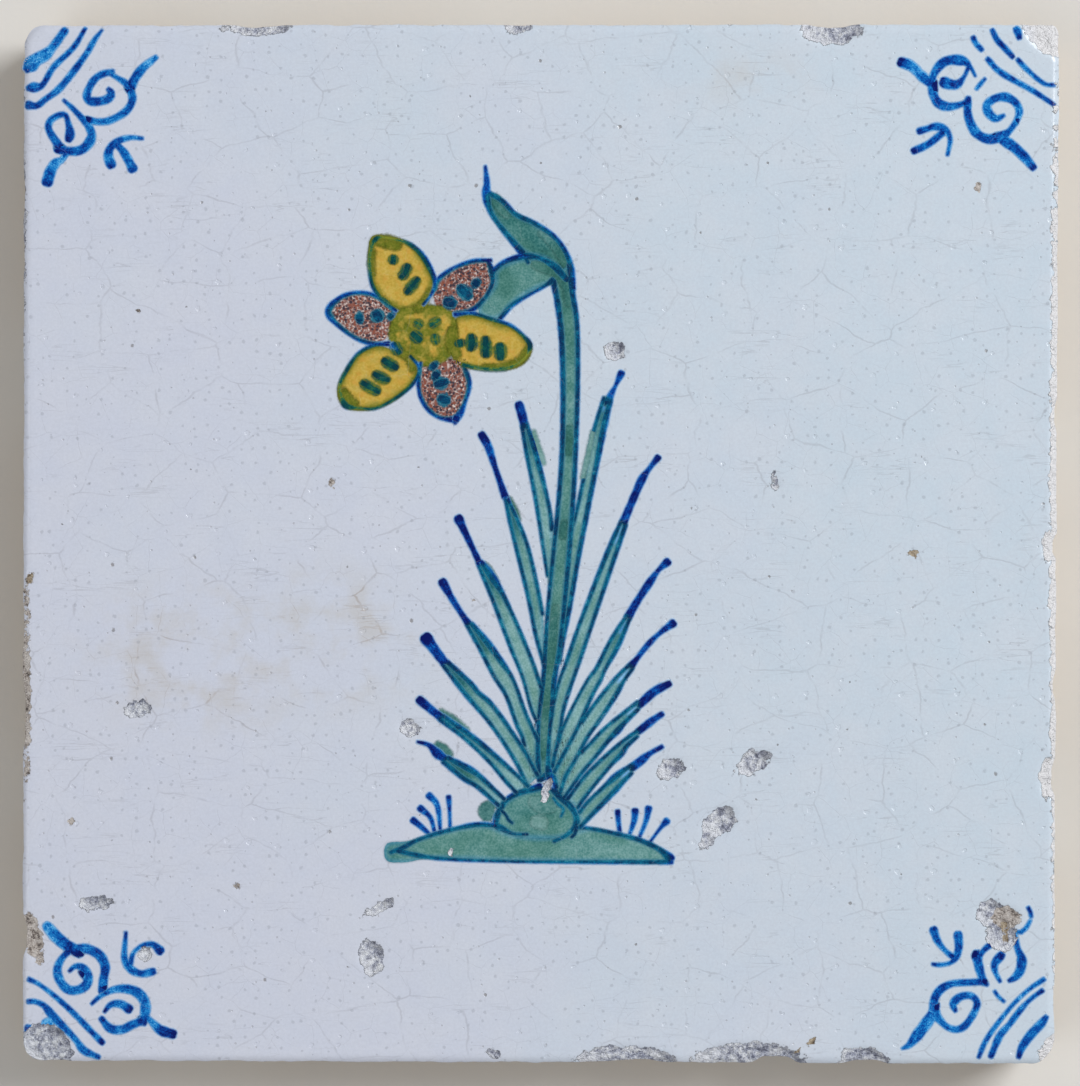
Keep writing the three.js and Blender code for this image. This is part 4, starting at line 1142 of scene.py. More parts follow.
        # Gloss and relief
        sheen = bench.step(bench.noise(place, 3.0, 4.0), 0.3, 0.7, self.roughness, self.roughness + 0.12)
        dull = bench.total((worn, 0.8), (glassy, -0.38))
        bench.feed(shader.inputs["Roughness"], bench.maths("MAXIMUM", sheen, dull))
        ripple_height = bench.noise(place, 1.8, 3.0)
        rough = bench.times(worn, bench.total((grain["Height"], 0.7), (outer, -0.3), (1.0, -0.45)))
        height = bench.total(
            (ripple_height, 0.035), (lines, -0.012), (spots, -0.06), (dents["Spot"], -0.05), (rough, 0.8),
            (bench.times(glassy, shell), 1.1),
        )
        bench.feed(shader.inputs["Normal"], bench.bump(height))


@dataclass(frozen=True)
class PaintFinish(Finish):
    """Colour painted on the raw glaze and fired into it, with the glaze's own gloss."""

    opacity: float = 1.0
    wander: float = 0.045
    softness: float = 0.045
    bleed: float = 0.3
    reflection: float = 0.2

    def tone(self, bench: NodeBench, place: Socket) -> Socket:
        """Mixes the paint's colour."""
        raise NotImplementedError

    def dress(self, bench: NodeBench, shader: bpy.types.Node) -> None:
        """Wires the finish into its shader.

        Args:
            bench: The material's tree.
            shader: The material's Principled BSDF.
        """
        place = bench.place()
        lines = CRAZE.put(bench, place=place, size=5.2, width=0.07)["Line"]
        colour = bench.mix(bench.times(lines, 0.1), self.tone(bench, place), "#cfd6dc")
        bench.feed(shader.inputs["Base Color"], colour)
        shader.inputs["Specular IOR Level"].default_value = self.reflection
        inside = bench.maths("SUBTRACT", bench.mark("rim"), EDGE_SPARE)
        edge = RAGGED.put(
            bench, place=place, distance=inside, size=0.35, depth=self.wander, softness=self.softness
        )
        bled = bench.step(edge["Wandered"], -0.9 * EDGE_SPARE, 0.0, 0.0, self.bleed)
        spread = bench.maths("MAXIMUM", bench.times(edge["Cover"], self.opacity), bled)
        flake = WORN.put(bench, place=place, outside=bench.mark("flaked"))
        kept = bench.maths("SUBTRACT", 1.0, flake["Cover"])
        bench.feed(shader.inputs["Alpha"], bench.times(spread, kept))
        sheen = bench.step(bench.noise(place, 1.5, 4.0), 0.3, 0.7, self.roughness, self.roughness + 0.12)
        bench.feed(shader.inputs["Roughness"], sheen)
        height = bench.total((bench.noise(place, 0.5, 3.0), 0.02), (bench.noise(place, 1.8, 3.0), 0.03))
        bench.feed(shader.inputs["Normal"], bench.bump(height))


@dataclass(frozen=True)
class CobaltBlue(PaintFinish):
    """Brushed cobalt, dark where it pooled at the ends of a stroke, with a pale blue haze round it."""

    softness: float = 0.06
    bleed: float = 0.65

    def tone(self, bench: NodeBench, place: Socket) -> Socket:
        """Mixes the paint's colour.

        Args:
            bench: The material's tree.
            place: Places on the tile, in millimetres.

        Returns:
            The colour.
        """
        mottle = MOTTLE.put(bench, place=place, size=0.9, grain=0.16)
        inside = bench.maths("SUBTRACT", bench.mark("rim"), EDGE_SPARE)
        drift = bench.step(bench.noise(place, 1.7, 2.0), 0.36, 0.64)
        lane = bench.add("ShaderNodeCombineXYZ")
        bench.feed(lane.inputs[0], bench.times(bench.mark("run"), 0.16))
        bench.feed(lane.inputs[1], bench.mark("lane"))
        bristle = bench.step(bench.noise(lane.outputs[0], 0.24, 2.0), 0.3, 0.7)
        pooled = bench.step(bench.mark("tip"), 1.5, 0.5)
        shore = bench.step(inside, 0.2, 0.0)
        depth = bench.total(
            (bench.mark("load"), 0.85), (mottle["Cloud"], 0.32), (mottle["Speck"], 0.4), (bristle, 0.2),
            (drift, 0.3), (pooled, 0.25), (shore, -0.22), (1.0, -0.52),
        )
        blue = bench.ramp(
            depth, (0.0, "#6cb8ec"), (0.2, "#248fd8"), (0.42, "#0468bb"), (0.66, "#003f9b"),
            (0.95, "#001262"),
        )
        teal = bench.ramp(depth, (0.0, "#4c9fb2"), (0.3, "#0c7896"), (0.6, "#00567a"), (0.95, "#002f56"))
        moss = bench.ramp(depth, (0.0, "#80882c"), (0.3, "#44703a"), (0.55, "#0b5a50"), (0.9, "#003a45"))
        haze = bench.mix(bench.mark("green"), "#76b9f2", "#559bb2")
        colour = bench.mix(bench.mark("yellow"), bench.mix(bench.mark("green"), blue, teal), moss)
        haze = bench.mix(bench.mark("yellow"), haze, "#858a30")
        return bench.mix(bench.step(inside, 0.03, -0.14), colour, haze)


@dataclass(frozen=True)
class CopperGreen(PaintFinish):
    """A thin, granular wash of copper green, bluer along its rim."""

    rim_tint: float = 0.7

    def tone(self, bench: NodeBench, place: Socket) -> Socket:
        """Mixes the paint's colour.

        Args:
            bench: The material's tree.
            place: Places on the tile, in millimetres.

        Returns:
            The colour.
        """
        mottle = MOTTLE.put(bench, place=place, size=1.9, grain=0.26)
        broad = bench.step(bench.noise(place, 6.0, 2.0), 0.35, 0.65)
        depth = bench.total(
            (bench.mark("load"), 0.85), (mottle["Cloud"], 0.22), (mottle["Speck"], 0.26), (broad, 0.16),
            (1.0, -0.3),
        )
        green = bench.ramp(
            depth, (0.05, "#93bdbe"), (0.33, "#76a5a3"), (0.55, "#548c8a"), (0.78, "#2e7070"),
            (1.0, "#0e5459"),
        )
        green = bench.mix(bench.times(broad, 0.2), green, "#5f8a66")
        blue = bench.ramp(depth, (0.05, "#a5d2f4"), (0.6, "#6cb2ea"), (1.0, "#3c8fd6"))
        tint = bench.step(bench.mark("rim"), EDGE_SPARE + 0.75, EDGE_SPARE + 0.05, 0.0, self.rim_tint)
        rim = bench.ramp(depth, (0.1, "#8dbfd6"), (0.45, "#5497b2"), (0.85, "#1f738f"))
        green = bench.mix(tint, green, rim)
        return bench.mix(bench.mark("blue"), green, blue)


@dataclass(frozen=True)
class AntimonyYellow(PaintFinish):
    """Deep yellow that turns olive where it ran into the blue outline, and in clots."""

    clots: float = 0.35

    def tone(self, bench: NodeBench, place: Socket) -> Socket:
        """Mixes the paint's colour.

        Args:
            bench: The material's tree.
            place: Places on the tile, in millimetres.

        Returns:
            The colour.
        """
        mottle = MOTTLE.put(bench, place=place, size=1.4, grain=0.3)
        shade = bench.total((mottle["Cloud"], 0.6), (mottle["Speck"], 0.4))
        yellow = bench.ramp(shade, (0.0, "#ad8e34"), (0.45, "#c6a848"), (1.0, "#d6bb66"))
        yellow = bench.mix(bench.step(bench.noise(place, 0.9, 3.0), 0.45, 0.7, 0.0, 0.6), yellow, "#cf9d45")
        olive = bench.ramp(shade, (0.0, "#4a5a14"), (0.5, "#6f7722"), (1.0, "#958c38"))
        clot = bench.step(bench.noise(place, 1.7, 4.0), 0.28, 0.7)
        depth = bench.maths("MINIMUM", bench.mark("rim"), 1.4)
        wander = bench.total(
            (depth, 1.0), (mottle["Cloud"], -0.6), (clot, -self.clots), (bench.mark("load"), -1.5)
        )
        return bench.mix(bench.step(wander, 0.4, -0.75), yellow, olive)


@dataclass(frozen=True)
class StippledBrown(PaintFinish):
    """Rusty specks on a warm white ground."""

    def tone(self, bench: NodeBench, place: Socket) -> Socket:
        """Mixes the paint's colour.

        Args:
            bench: The material's tree.
            place: Places on the tile, in millimetres.

        Returns:
            The colour.
        """
        pale = bench.total((bench.noise(place, 0.34, 2.0), 1.0), (bench.mark("load"), -0.16))
        ground = bench.ramp(pale, (0.28, "#86625e"), (0.52, "#e0d2cc"))
        rust = PINHOLES.put(bench, place=place, size=0.36, radius=0.36, share=0.95)["Spot"]
        dark = PINHOLES.put(bench, place=place, size=0.42, radius=0.3, share=0.8)["Spot"]
        share = bench.total((bench.mark("load"), 0.5), (1.0, 0.55))
        ground = bench.mix(bench.maths("MINIMUM", bench.times(rust, share), 0.95), ground, "#8b5142")
        return bench.mix(bench.maths("MINIMUM", bench.times(dark, share), 0.95), ground, "#3f3742")


@dataclass(frozen=True)
class BareClay(Finish):
    """Buff fired clay: sandy, with darker specks and kiln stains."""

    low: str = "#9c7d52"
    middle: str = "#c3a577"
    high: str = "#d9c29a"
    relief: float = 0.35

    def dress(self, bench: NodeBench, shader: bpy.types.Node) -> None:
        """Wires the finish into its shader.

        Args:
            bench: The material's tree.
            shader: The material's Principled BSDF.
        """
        place = bench.place()
        grain = GRAIN.put(bench, place=place, size=2.2)
        sand = GRAIN.put(bench, place=place, size=0.5)
        tone = bench.total((grain["Tone"], 0.6), (sand["Tone"], 0.4))
        colour = bench.ramp(tone, (0.1, self.low), (0.5, self.middle), (0.95, self.high))
        smoke = bench.step(bench.noise(place, 16.0, 4.0), 0.5, 0.72, 0.0, 0.35)
        colour = bench.mix(smoke, colour, "#8a7a66")
        specks = PINHOLES.put(bench, place=bench.turned(place), size=1.9, radius=0.24, share=0.4)["Spot"]
        colour = bench.mix(bench.times(specks, 0.7), colour, "#5a4632")
        bench.feed(shader.inputs["Base Color"], colour)
        height = bench.total((grain["Height"], self.relief), (sand["Height"], 0.2), (specks, -0.12))
        bench.feed(shader.inputs["Normal"], bench.bump(height))


@dataclass(frozen=True)
class PaleFloor(Finish):
    """A plain pale floor with a trace of unevenness."""

    def dress(self, bench: NodeBench, shader: bpy.types.Node) -> None:
        """Wires the finish into its shader.

        Args:
            bench: The material's tree.
            shader: The material's Principled BSDF.
        """
        cloud = bench.noise(bench.place(), 40.0, 4.0)
        bench.feed(shader.inputs["Base Color"], bench.ramp(cloud, (0.3, "#dcdad6"), (0.7, "#e2e0dc")))
        bench.feed(shader.inputs["Normal"], bench.bump(bench.noise(bench.place(), 1.5, 3.0), 0.02))


@dataclass
class Underpaint:
    """The washes that lie under the blue lines, by the colour that each one gives a line."""

    patches: dict[str, list[Array]] = field(default_factory=lambda: {"green": [], "yellow": []})

    def note(self, kind: str, outline: Array) -> None:
        """Remembers a wash."""
        self.patches[kind].append(outline)

    def cover(self, kind: str, x: Array, y: Array) -> Array:
        """Says how far places lie on a wash of some kind.

        Args:
            kind: "green" or "yellow".
            x: Places across.
            y: Places up.

        Returns:
            1 on the wash, 0 on the bare glaze, and between them along its edge.
        """
        result = np.zeros(x.shape)
        for outline in self.patches[kind]:
            low, high = outline[:, :2].min(0) - 0.6, outline[:, :2].max(0) + 0.6
            near = (x > low[0]) & (x < high[0]) & (y > low[1]) & (y < high[1])
            if near.any():
                depth = inside_distance(outline, x[near], y[near])
                spread = soft_step(-0.6, -0.2, depth) if kind == "yellow" else soft_step(-0.45, -0.1, depth)
                result[near] = np.maximum(result[near], spread)
        return result


@dataclass
class PaintLayer:
    """The paint of one piece: strokes and patches that follow the glaze.

    Its sizes are the spacing of a patch's points, of a stroke's ribs and of the curve under them, and
    the usual width of a stroke in tenths of a millimetre.
    """

    face: TileFace
    washes: Underpaint
    lift: float
    draft: MeshDraft = field(default_factory=MeshDraft)
    order: int = 0
    spacing: float = 0.3
    ribs: float = 0.26
    curve: float = 0.05
    width: float = 3.8

    def add_points(self, x: Array, y: Array, rise: Array, **marks: Array | float) -> int:
        """Adds points that stand on the glaze, a little above the layer's earlier ones.

        Args:
            x: Places across.
            y: Places up.
            rise: How far each point stands above the glaze.
            marks: The points' marks.

        Returns:
            The number of the first added point.
        """
        self.order += 1
        z = self.face.height(x, y, pitted=False) + rise + 0.0015 * self.order
        flaked = self.face.scar_distance(x, y, (ScarKind.FLAKE, ScarKind.GRIME, ScarKind.CLAY))
        return self.draft.add(x, y, z, flaked=flaked, **marks)

    def stroke(self, points: Points, load: float = 0.6, swell: float = 0.0) -> None:
        """Draws a brush stroke.

        Args:
            points: Its middle line.
            load: How much colour the brush held, where the points don't say.
            swell: How much wider than its points each half of it is.
        """
        usual = (self.width, 10 * load)
        path = smooth_path([tuple(p) + usual[len(p) - 2:] for p in points], self.curve)
        run = np.concatenate([[0], np.cumsum(np.hypot(*np.diff(path[:, :2], axis=0).T))])
        half_start, half_end = path[0, 2] / 2, path[-1, 2] / 2
        start, end = -0.6 * half_start - EDGE_SPARE, run[-1] + 0.6 * half_end + EDGE_SPARE
        ends = np.array([0, 0.02, 0.07, 0.15, 0.26, 0.4])
        count = max(3, int((end - start) / self.ribs))
        stops = np.unique(np.concatenate([start + ends, np.linspace(start, end, count), end - ends]))
        stops = stops[(stops >= start) & (stops <= end)]
        x, y, width, loads = (np.interp(stops, run, column) for column in path.T)
        ahead = np.gradient(path[:, :2], axis=0)
        ahead /= np.hypot(*ahead.T)[:, None] + 1e-9
        tx, ty = (np.interp(stops, run, column) for column in ahead.T)
        before, after = np.minimum(stops, 0), np.maximum(stops - run[-1], 0)
        x, y = x + tx * (before + after), y + ty * (before + after)
        half = np.maximum(width / 2 + swell, 0.08) * (1.04 + 0.08 * ripple(x, y, 1.6, 5.0)) + EDGE_SPARE
        tip = np.minimum(stops - start, end - stops)
        near = np.clip(tip / np.minimum(half, (end - start) / 2), 0, 1)
        half *= np.sqrt(1 - (1 - near) ** 2) * 0.97 + 0.03
        across = np.array([-1, -0.82, -0.45, 0, 0.45, 0.82, 1])
        px = x[:, None] + ty[:, None] * half[:, None] * across
        py = y[:, None] - tx[:, None] * half[:, None] * across
        dome = np.array([0.002, 0.014, 0.024, 0.028, 0.024, 0.014, 0.002])
        rise = self.lift + dome * np.clip(near, 0.3, 1)[:, None]
        rim = np.minimum(half[:, None] * (1 - np.abs(across)), tip[:, None])
        px, py = px.ravel(), py.ravel()
        lanes = len(across)
        first = self.add_points(
            px, py, rise.ravel(), rim=rim.ravel(), tip=np.repeat(tip, lanes), load=np.repeat(loads, lanes),
            lane=(half[:, None] * across).ravel(), run=np.repeat(stops, lanes) + 7 * self.order,
            green=self.washes.cover("green", px, py), yellow=self.washes.cover("yellow", px, py),
        )
        self.draft.lattice(first, len(stops), lanes)

    def patch(self, outline: Array, load: float, reach: float, fork: float, start: float) -> None:
        """Fills a closed outline with a wash.

        Args:
            outline: The outline's points, from where the painter started it.
            load: How much colour the wash holds.
            reach: How far its mesh runs out past the outline.
            fork: How far from its start it is blue instead of green, in millimetres.
            start: How much more colour it holds at its start.
        """
        low, high = outline.min(0) - reach - self.spacing, outline.max(0) + reach + self.spacing
        across = np.arange(low[0], high[0], self.spacing)
        up = np.arange(low[1], high[1], self.spacing)
        x, y = (g.ravel() for g in np.meshgrid(across, up))
        rim = inside_distance(outline, x, y) + reach
        grid = np.arange(len(x)).reshape(len(up), len(across))
        corners = [grid[:-1, :-1], grid[:-1, 1:], grid[1:, 1:], grid[1:, :-1]]
        quads = np.stack(corners, axis=-1).reshape(-1, 4)
        quads = quads[rim[quads].max(1) > -0.3 * self.spacing]
        used, quads = np.unique(quads, return_inverse=True)
        x, y, rim = x[used], y[used], rim[used]
        away = np.hypot(x - outline[0, 0], y - outline[0, 1])
        first = self.add_points(
            x, y, np.full(len(x), self.lift), rim=rim, load=load + start * soft_step(6.5, 1.5, away),
            blue=soft_step(fork + 0.5, fork - 0.4, away) if fork else 0.0,
        )
        self.draft.faces.extend(map(tuple, (quads.reshape(-1, 4) + first).tolist()))


class Colour(Enum):
    """The painter's colours, by their material slots."""

    BLUE = "cobalt_blue"
    GREEN = "copper_green"
    YELLOW = "antimony_yellow"
    BROWN = "stippled_brown"


class Coat(Enum):
    """How far each coat of paint lies above the glaze, in millimetres, from the first to the last."""

    LEAF_WASH = 0.004
    SHEATH_WASH = 0.005
    CORNER = 0.006
    STEM_WASH = 0.01
    PETAL_WASH = 0.012
    RUN = 0.016
    LEAF_LINE = 0.018
    MIDDLE_WASH = 0.02
    STEM_LINE = 0.024
    GROUND_LINE = 0.028
    PETAL_LINE = 0.03
    HALO = 0.034
    MARK = 0.038


@dataclass(frozen=True)
class Piece:
    """A painted piece, with the solid that it stands for, and a finish if its colour's isn't meant."""

    name: str
    coat: Coat
    colour: Colour = Colour.BLUE
    node: str = ""
    finish: str = ""


@dataclass
class Bench:
    """What every part of the tile is made with: the face, the paint on it, and the finishes."""

    face: TileFace
    finishes: dict[str, bpy.types.Material]
    washes: Underpaint = field(default_factory=Underpaint)

    def wash(
        self, piece: Piece, outline: Array, load: float, spare: float = 0.05, fork: float = 0.0,
        start: float = 0.14,
    ) -> None:
        """Fills a closed outline with a wash, as one piece.

        Args:
            piece: What it is.
            outline: The outline's points, from where the painter started it.
            load: How much colour the wash holds.
            spare: How far it runs out under the lines around it.
            fork: How far from its start it is blue instead of green, in millimetres.
            start: How much more colour it holds at its start.
        """
        self.washes.note("yellow" if piece.colour is Colour.YELLOW else "green", outline)
        layer = PaintLayer(self.face, self.washes, piece.coat.value)
        layer.patch(outline, load, spare + EDGE_SPARE, fork, start)
        self.finish(piece, layer)

    def lines(self, piece: Piece, *groups: tuple) -> None:
        """Draws brush strokes, as one piece.

        Args:
            piece: What it is.
            groups: Strokes, how much colour the brush held for them, and how much they swell.
        """
        layer = PaintLayer(self.face, self.washes, piece.coat.value)
        for strokes, *manner in groups:
            for points in strokes:
                layer.stroke(points, *manner)
        self.finish(piece, layer)

    def blot(self, name: str, strokes: Iterable[Points], colour: Colour = Colour.GREEN) -> None:
        """Lets thicker colour run over the washes, without an edge."""
        self.lines(Piece(name, Coat.RUN, colour, "", f"soft_{colour.value}"), (strokes, 0.85, 0.1))

    def finish(self, piece: Piece, layer: PaintLayer) -> None:
        """Puts a layer of paint on the tile."""
        made = layer.draft.build(piece.name, self.finishes[piece.finish or piece.colour.value])
        enter(made, piece.colour.value, *filter(None, [piece.node]))


def between(left: Points, right: Points, start: float = 0.0) -> Array:
    """Outlines the space between two lines that run the same way.

    Args:
        left: The points of the left line.
        right: The points of the right line.
        start: How far along the lines the space starts, in millimetres.

    Returns:
        The outline, up one line and back along the other.
    """
    skip = int(start / WASH_STEP)
    a, b = (smooth_path([p[:2] for p in line], WASH_STEP)[skip:] for line in (left, right))
    return np.vstack([a, b[::-1]])


@dataclass(frozen=True)
class GlazeCoat:
    """The white glaze: the whole face, rolled over its edges in uneven drips."""

    spacing: float = 0.5
    under: float = 11.9
    drip: float = 1.5

    def build(self, bench: Bench) -> None:
        """Builds the glaze and puts it on the tile.

        Args:
            bench: What the tile is made with.
        """
        face = bench.face
        stops = grid_stops(face.half, self.spacing)
        count = len(stops)
        gx, gy = (g.ravel() for g in np.meshgrid(stops, stops))
        x, y = face.place(gx, gy)
        ring = border(count)
        draft = MeshDraft()
        marks = self.marks(face, x, y)
        draft.add(x, y, face.height(x, y), **marks)
        draft.lattice(0, count, count)
        rx, ry = x[ring], y[ring]
        hang = self.drip * (0.75 + 0.3 * ripple(rx, ry, 7.0, 6.0) + 0.16 * ripple(rx, ry, 1.8, 7.0))
        upper = ring
        top = face.height(rx, ry)
        for share, inset in ((0.3, -0.03), (0.6, -0.02), (0.9, 0.03), (1.0, 0.14)):
            level = top + share * (self.under - np.maximum(hang, 0.35) - top)
            px, py = face.inset(rx, ry, inset)
            first = draft.add(px, py, level, **{name: values[ring] for name, values in marks.items()})
            lower = first + np.arange(len(ring))
            draft.bridge(lower, upper)
            upper = lower
        middle = draft.add(0.0, 0.0, np.array([self.under]), **dict.fromkeys(marks, FAR))
        draft.fan(upper[::-1], middle)
        piece = draft.build("glaze_coat", bench.finishes["tin_glaze"])
        enter(piece, "tin_glaze", "tin_glaze")

    def marks(self, face: TileFace, x: Array, y: Array) -> dict[str, Array]:
        """Marks how far each point lies from the worn places, and where it lies across a flake for the
        flakes' painted shading.

        Args:
            face: The glazed face.
            x: Places across.
            y: Places up.

        Returns:
            The marks by name.
        """
        stain = face.scar_distance(x, y, [ScarKind.STAIN])
        edge = face.edge_distance(x, y)
        worn = edge * 1.6 + 0.42 + 0.3 * ripple(x, y, 3.4, 8.0) + 0.34 * ripple(x, y, 17.0, 9.0)
        return {
            "flake": np.minimum(face.scar_distance(x, y, [ScarKind.FLAKE]), worn),
            "grime": face.scar_distance(x, y, [ScarKind.GRIME]),
            "clay": face.scar_distance(x, y, [ScarKind.CLAY]),
            "stain": soft_step(2.0, -6.0, stain),
            "lean": face.flake_painted_shading(x, y),
        }


@dataclass(frozen=True)
class ClayBody:
    """The fired slab: upright sides cut under toward a rough back, with traces of lime mortar."""

    spacing: float = 1.1
    top: float = 11.95
    corner: float = 7.0
    undercut: float = 1.0
    back: float = 0.35

    def build(self, bench: Bench) -> None:
        """Builds the slab and puts it under the glaze.

        Args:
            bench: What the tile is made with.
        """
        face = bench.face
        stops = grid_stops(face.half, self.spacing)
        count = len(stops)
        gx, gy = (g.ravel() for g in np.meshgrid(stops, stops))
        x, y = face.place(gx, gy)
        ring = border(count)
        rx, ry = x[ring].copy(), y[ring].copy()
        shrink = 1 - (self.undercut + 0.3) / face.half
        x, y = x * shrink, y * shrink
        level = self.back + 0.14 * ripple(x, y, 9.0, 1.5) + 0.07 * ripple(x, y, 2.6, 2.5)
        level = level + 0.4 * soft_step(1.6, 0.0, face.edge_distance(x / shrink, y / shrink))
        draft = MeshDraft()
        draft.add(x, y, np.maximum(level, 0.02))
        draft.lattice(0, count, count, flip=True)
        lower = ring
        levels = (0.9, 1.4, 2.0, 2.8, 3.7, 4.7, 5.8, 7.0, 8.1, 9.1, 10.0, 10.8, 11.4, self.top - 0.15)
        for z in levels:
            cut = self.undercut * max(0.0, 1 - z / self.corner)
            sand = 0.1 * ripple(rx + 3 * z, ry - 2 * z, 2.2, 3.5)
            sand = sand + 0.08 * ripple(rx - z, ry + 1.4 * z, 6.0, 4.5)
            px, py = face.inset(rx, ry, cut + 0.16 + np.maximum(sand, -0.12))
            upper = draft.add(px, py, z) + np.arange(len(ring))
            draft.bridge(lower, upper)
            lower = upper
        middle = draft.add(0.0, 0.0, np.array([self.top]))
        draft.fan(lower, middle)
        piece = draft.build("clay_slab", bench.finishes["fired_clay"])
        enter(piece, "fired_clay", "biscuit_body")
        self.mortar(bench)

    def mortar(self, bench: Bench) -> None:
        """Leaves traces of lime mortar on the back and low on the sides.

        Args:
            bench: What the tile is made with.
        """
        draft = MeshDraft()
        for i, (x, y, across, high) in enumerate(BACK_MORTAR):
            turn = np.linspace(0, 2 * math.pi, 72, endpoint=False)
            wave = 1 + 0.14 * np.sin(3 * turn + i) + 0.09 * np.sin(7 * turn + 2 * i)
            wave = wave + 0.05 * np.sin(15 * turn + 3 * i)
            rings = np.array([1.0, 0.97, 0.92, 0.84, 0.72, 0.58, 0.42, 0.26, 0.1])
            px = x + (rings[:, None] * across / 2 * wave * np.cos(turn)).ravel()
            py = y + (rings[:, None] * high / 2 * wave * np.sin(turn)).ravel()
            thick = np.repeat([0.0, 0.3, 0.7, 0.9, 1, 1, 1, 1, 1], len(turn))
            level = 0.62 - thick * (0.48 + 0.1 * ripple(px, py, 3.0, i))
            first = draft.add(px, py, np.maximum(level, 0.01))
            draft.lattice(first, len(rings), len(turn), around=True, flip=True)
            inner = first + (len(rings) - 1) * len(turn) + np.arange(len(turn))
            draft.faces.append(tuple(inner[::-1].tolist()))
        for i, (side, along, low, length, high) in enumerate(SIDE_MORTAR):
            s = np.linspace(-1, 1, 30)
            t = np.linspace(-1, 1, 12)
            gs, gt = (g.ravel() for g in np.meshgrid(s, t))
            round_s, round_t = gs * np.sqrt(1 - gt**2 / 2), gt * np.sqrt(1 - gs**2 / 2)
            u = along + round_s * length / 2 * (1 + 0.1 * ripple(gs, gt, 0.8, i))
            z = low + round_t * high / 2 * (1 + 0.14 * ripple(gt, gs, 0.7, i + 1.0))
            away = np.clip(1 - np.hypot(round_s, round_t), 0, 1)
            out = bench.face.half - self.undercut * np.clip(1 - z / self.corner, 0, 1)
            out = out - 0.5 + np.clip(away * 6, 0, 1) * (0.42 + 0.09 * ripple(u, z, 1.8, i + 2.0))
            turn = math.radians(90 * side)
            px = out * math.cos(turn) - u * math.sin(turn)
            py = out * math.sin(turn) + u * math.cos(turn)
            draft.lattice(draft.add(px, py, np.maximum(z, 0.02)), len(t), len(s))
        enter(draft.build("lime_mortar", bench.finishes["lime_mortar"]), "fired_clay")


# Patches of mortar on the back, as x, y, width and height
BACK_MORTAR = (
    (-31, 28, 34, 26), (24, 33, 22, 30), (2, -6, 40, 20), (-38, -30, 26, 30),
    (34, -28, 30, 24), (47, 10, 16, 22), (-6, 50, 20, 10), (-52, 4, 12, 18), (6, -48, 26, 12),
)

# Patches of mortar on the sides, as side, place along it, height, length and width
SIDE_MORTAR = (
    (0, -34, 3.0, 17, 3.4), (0, 12, 4.2, 10, 4.4), (0, 45, 2.4, 14, 2.6),
    (1, -40, 3.4, 12, 3.8), (1, 6, 2.6, 20, 3.0), (1, 38, 4.6, 9, 4.0),
    (2, -22, 3.2, 18, 3.6), (2, 30, 4.6, 12, 4.8), (3, -44, 2.6, 14, 3.0),
    (3, -8, 4.0, 11, 4.6), (3, 33, 3.0, 18, 3.2),
)


@dataclass(frozen=True)
class CornerMotif:
    """The scrolled motif in one corner, drawn from the corner inward.

    Its points give how far a place lies in from the upright side, how far in from the level side,
    and the stroke's width, with a load of colour where it isn't the usual one.
    """

    name: str
    right: bool
    top: bool
    strokes: dict[str, tuple[Points, ...]]
    extra: tuple[Points, ...] = ()
    load: float = 0.52
    swell: float = 0.02

    def to_face(self, points: Points, half: float) -> list[Point]:
        """Turns corner places into places on the face."""
        sx, sy = (1 if self.right else -1), (1 if self.top else -1)
        return [(sx * (10 * half - p[0]), sy * (10 * half - p[1])) + tuple(p[2:]) for p in points]

    def build(self, bench: Bench) -> None:
        """Paints the motif, one piece for each of its groups of strokes.

        Args:
            bench: What the tile is made with.
        """
        for group, strokes in {**self.strokes, "ticks": self.extra}.items():
            placed = [self.to_face(points, bench.face.half) for points in strokes]
            name = f"{group}_{self.name}"
            if placed:
                node = name if group in self.strokes else ""
                piece = Piece(f"blue_{name}", Coat.CORNER, node=node)
                bench.lines(piece, (placed, self.load, self.swell))


@dataclass(frozen=True)
class Leaf:
    """One leaf: a brushed tip that forks into two lines with a wash between them."""

    name: str
    tip: Points
    left: Points
    right: Points
    low_left: Points = ()
    low_right: Points = ()
    start: float = 0.0
    fork: float = 0.0
    dark: float = 0.75
    load: float = 0.9
    overhang: tuple[Points, ...] = ()

    def wash(self, bench: Bench) -> None:
        """Paints the wash.

        Args:
            bench: What the tile is made with.
        """
        outline = between((*self.left, *self.low_left), (*self.right, *self.low_right), self.start)
        piece = Piece(f"green_{self.name}", Coat.LEAF_WASH, Colour.GREEN, f"{self.name}_wash")
        bench.wash(piece, outline, 0.37, 0.02, self.fork, self.dark)

    def lines(self) -> tuple[tuple, ...]:
        """Lists the groups of blue lines that outline it."""
        return ((self.left, self.right), 0.7), ((self.tip,), self.load)


@dataclass(frozen=True)
class Foliage:
    """All the leaves."""

    leaves: tuple[Leaf, ...]

    def build(self, bench: Bench) -> None:
        """Paints the leaves' washes.

        Args:
            bench: What the tile is made with.
        """
        for leaf in self.leaves:
            leaf.wash(bench)
        bench.blot("green_leaf_blots", [points for leaf in self.leaves for points in leaf.overhang])

    def draw(self, bench: Bench) -> None:
        """Draws the leaves' blue lines, one piece for each side of the plant.

        Args:
            bench: What the tile is made with.
        """
        for side in ("left", "right"):
            groups = [group for leaf in self.leaves if side in leaf.name for group in leaf.lines()]
            piece = Piece(f"leaf_lines_{side}", Coat.LEAF_LINE, node="plant_brushwork")
            bench.lines(piece, *groups)


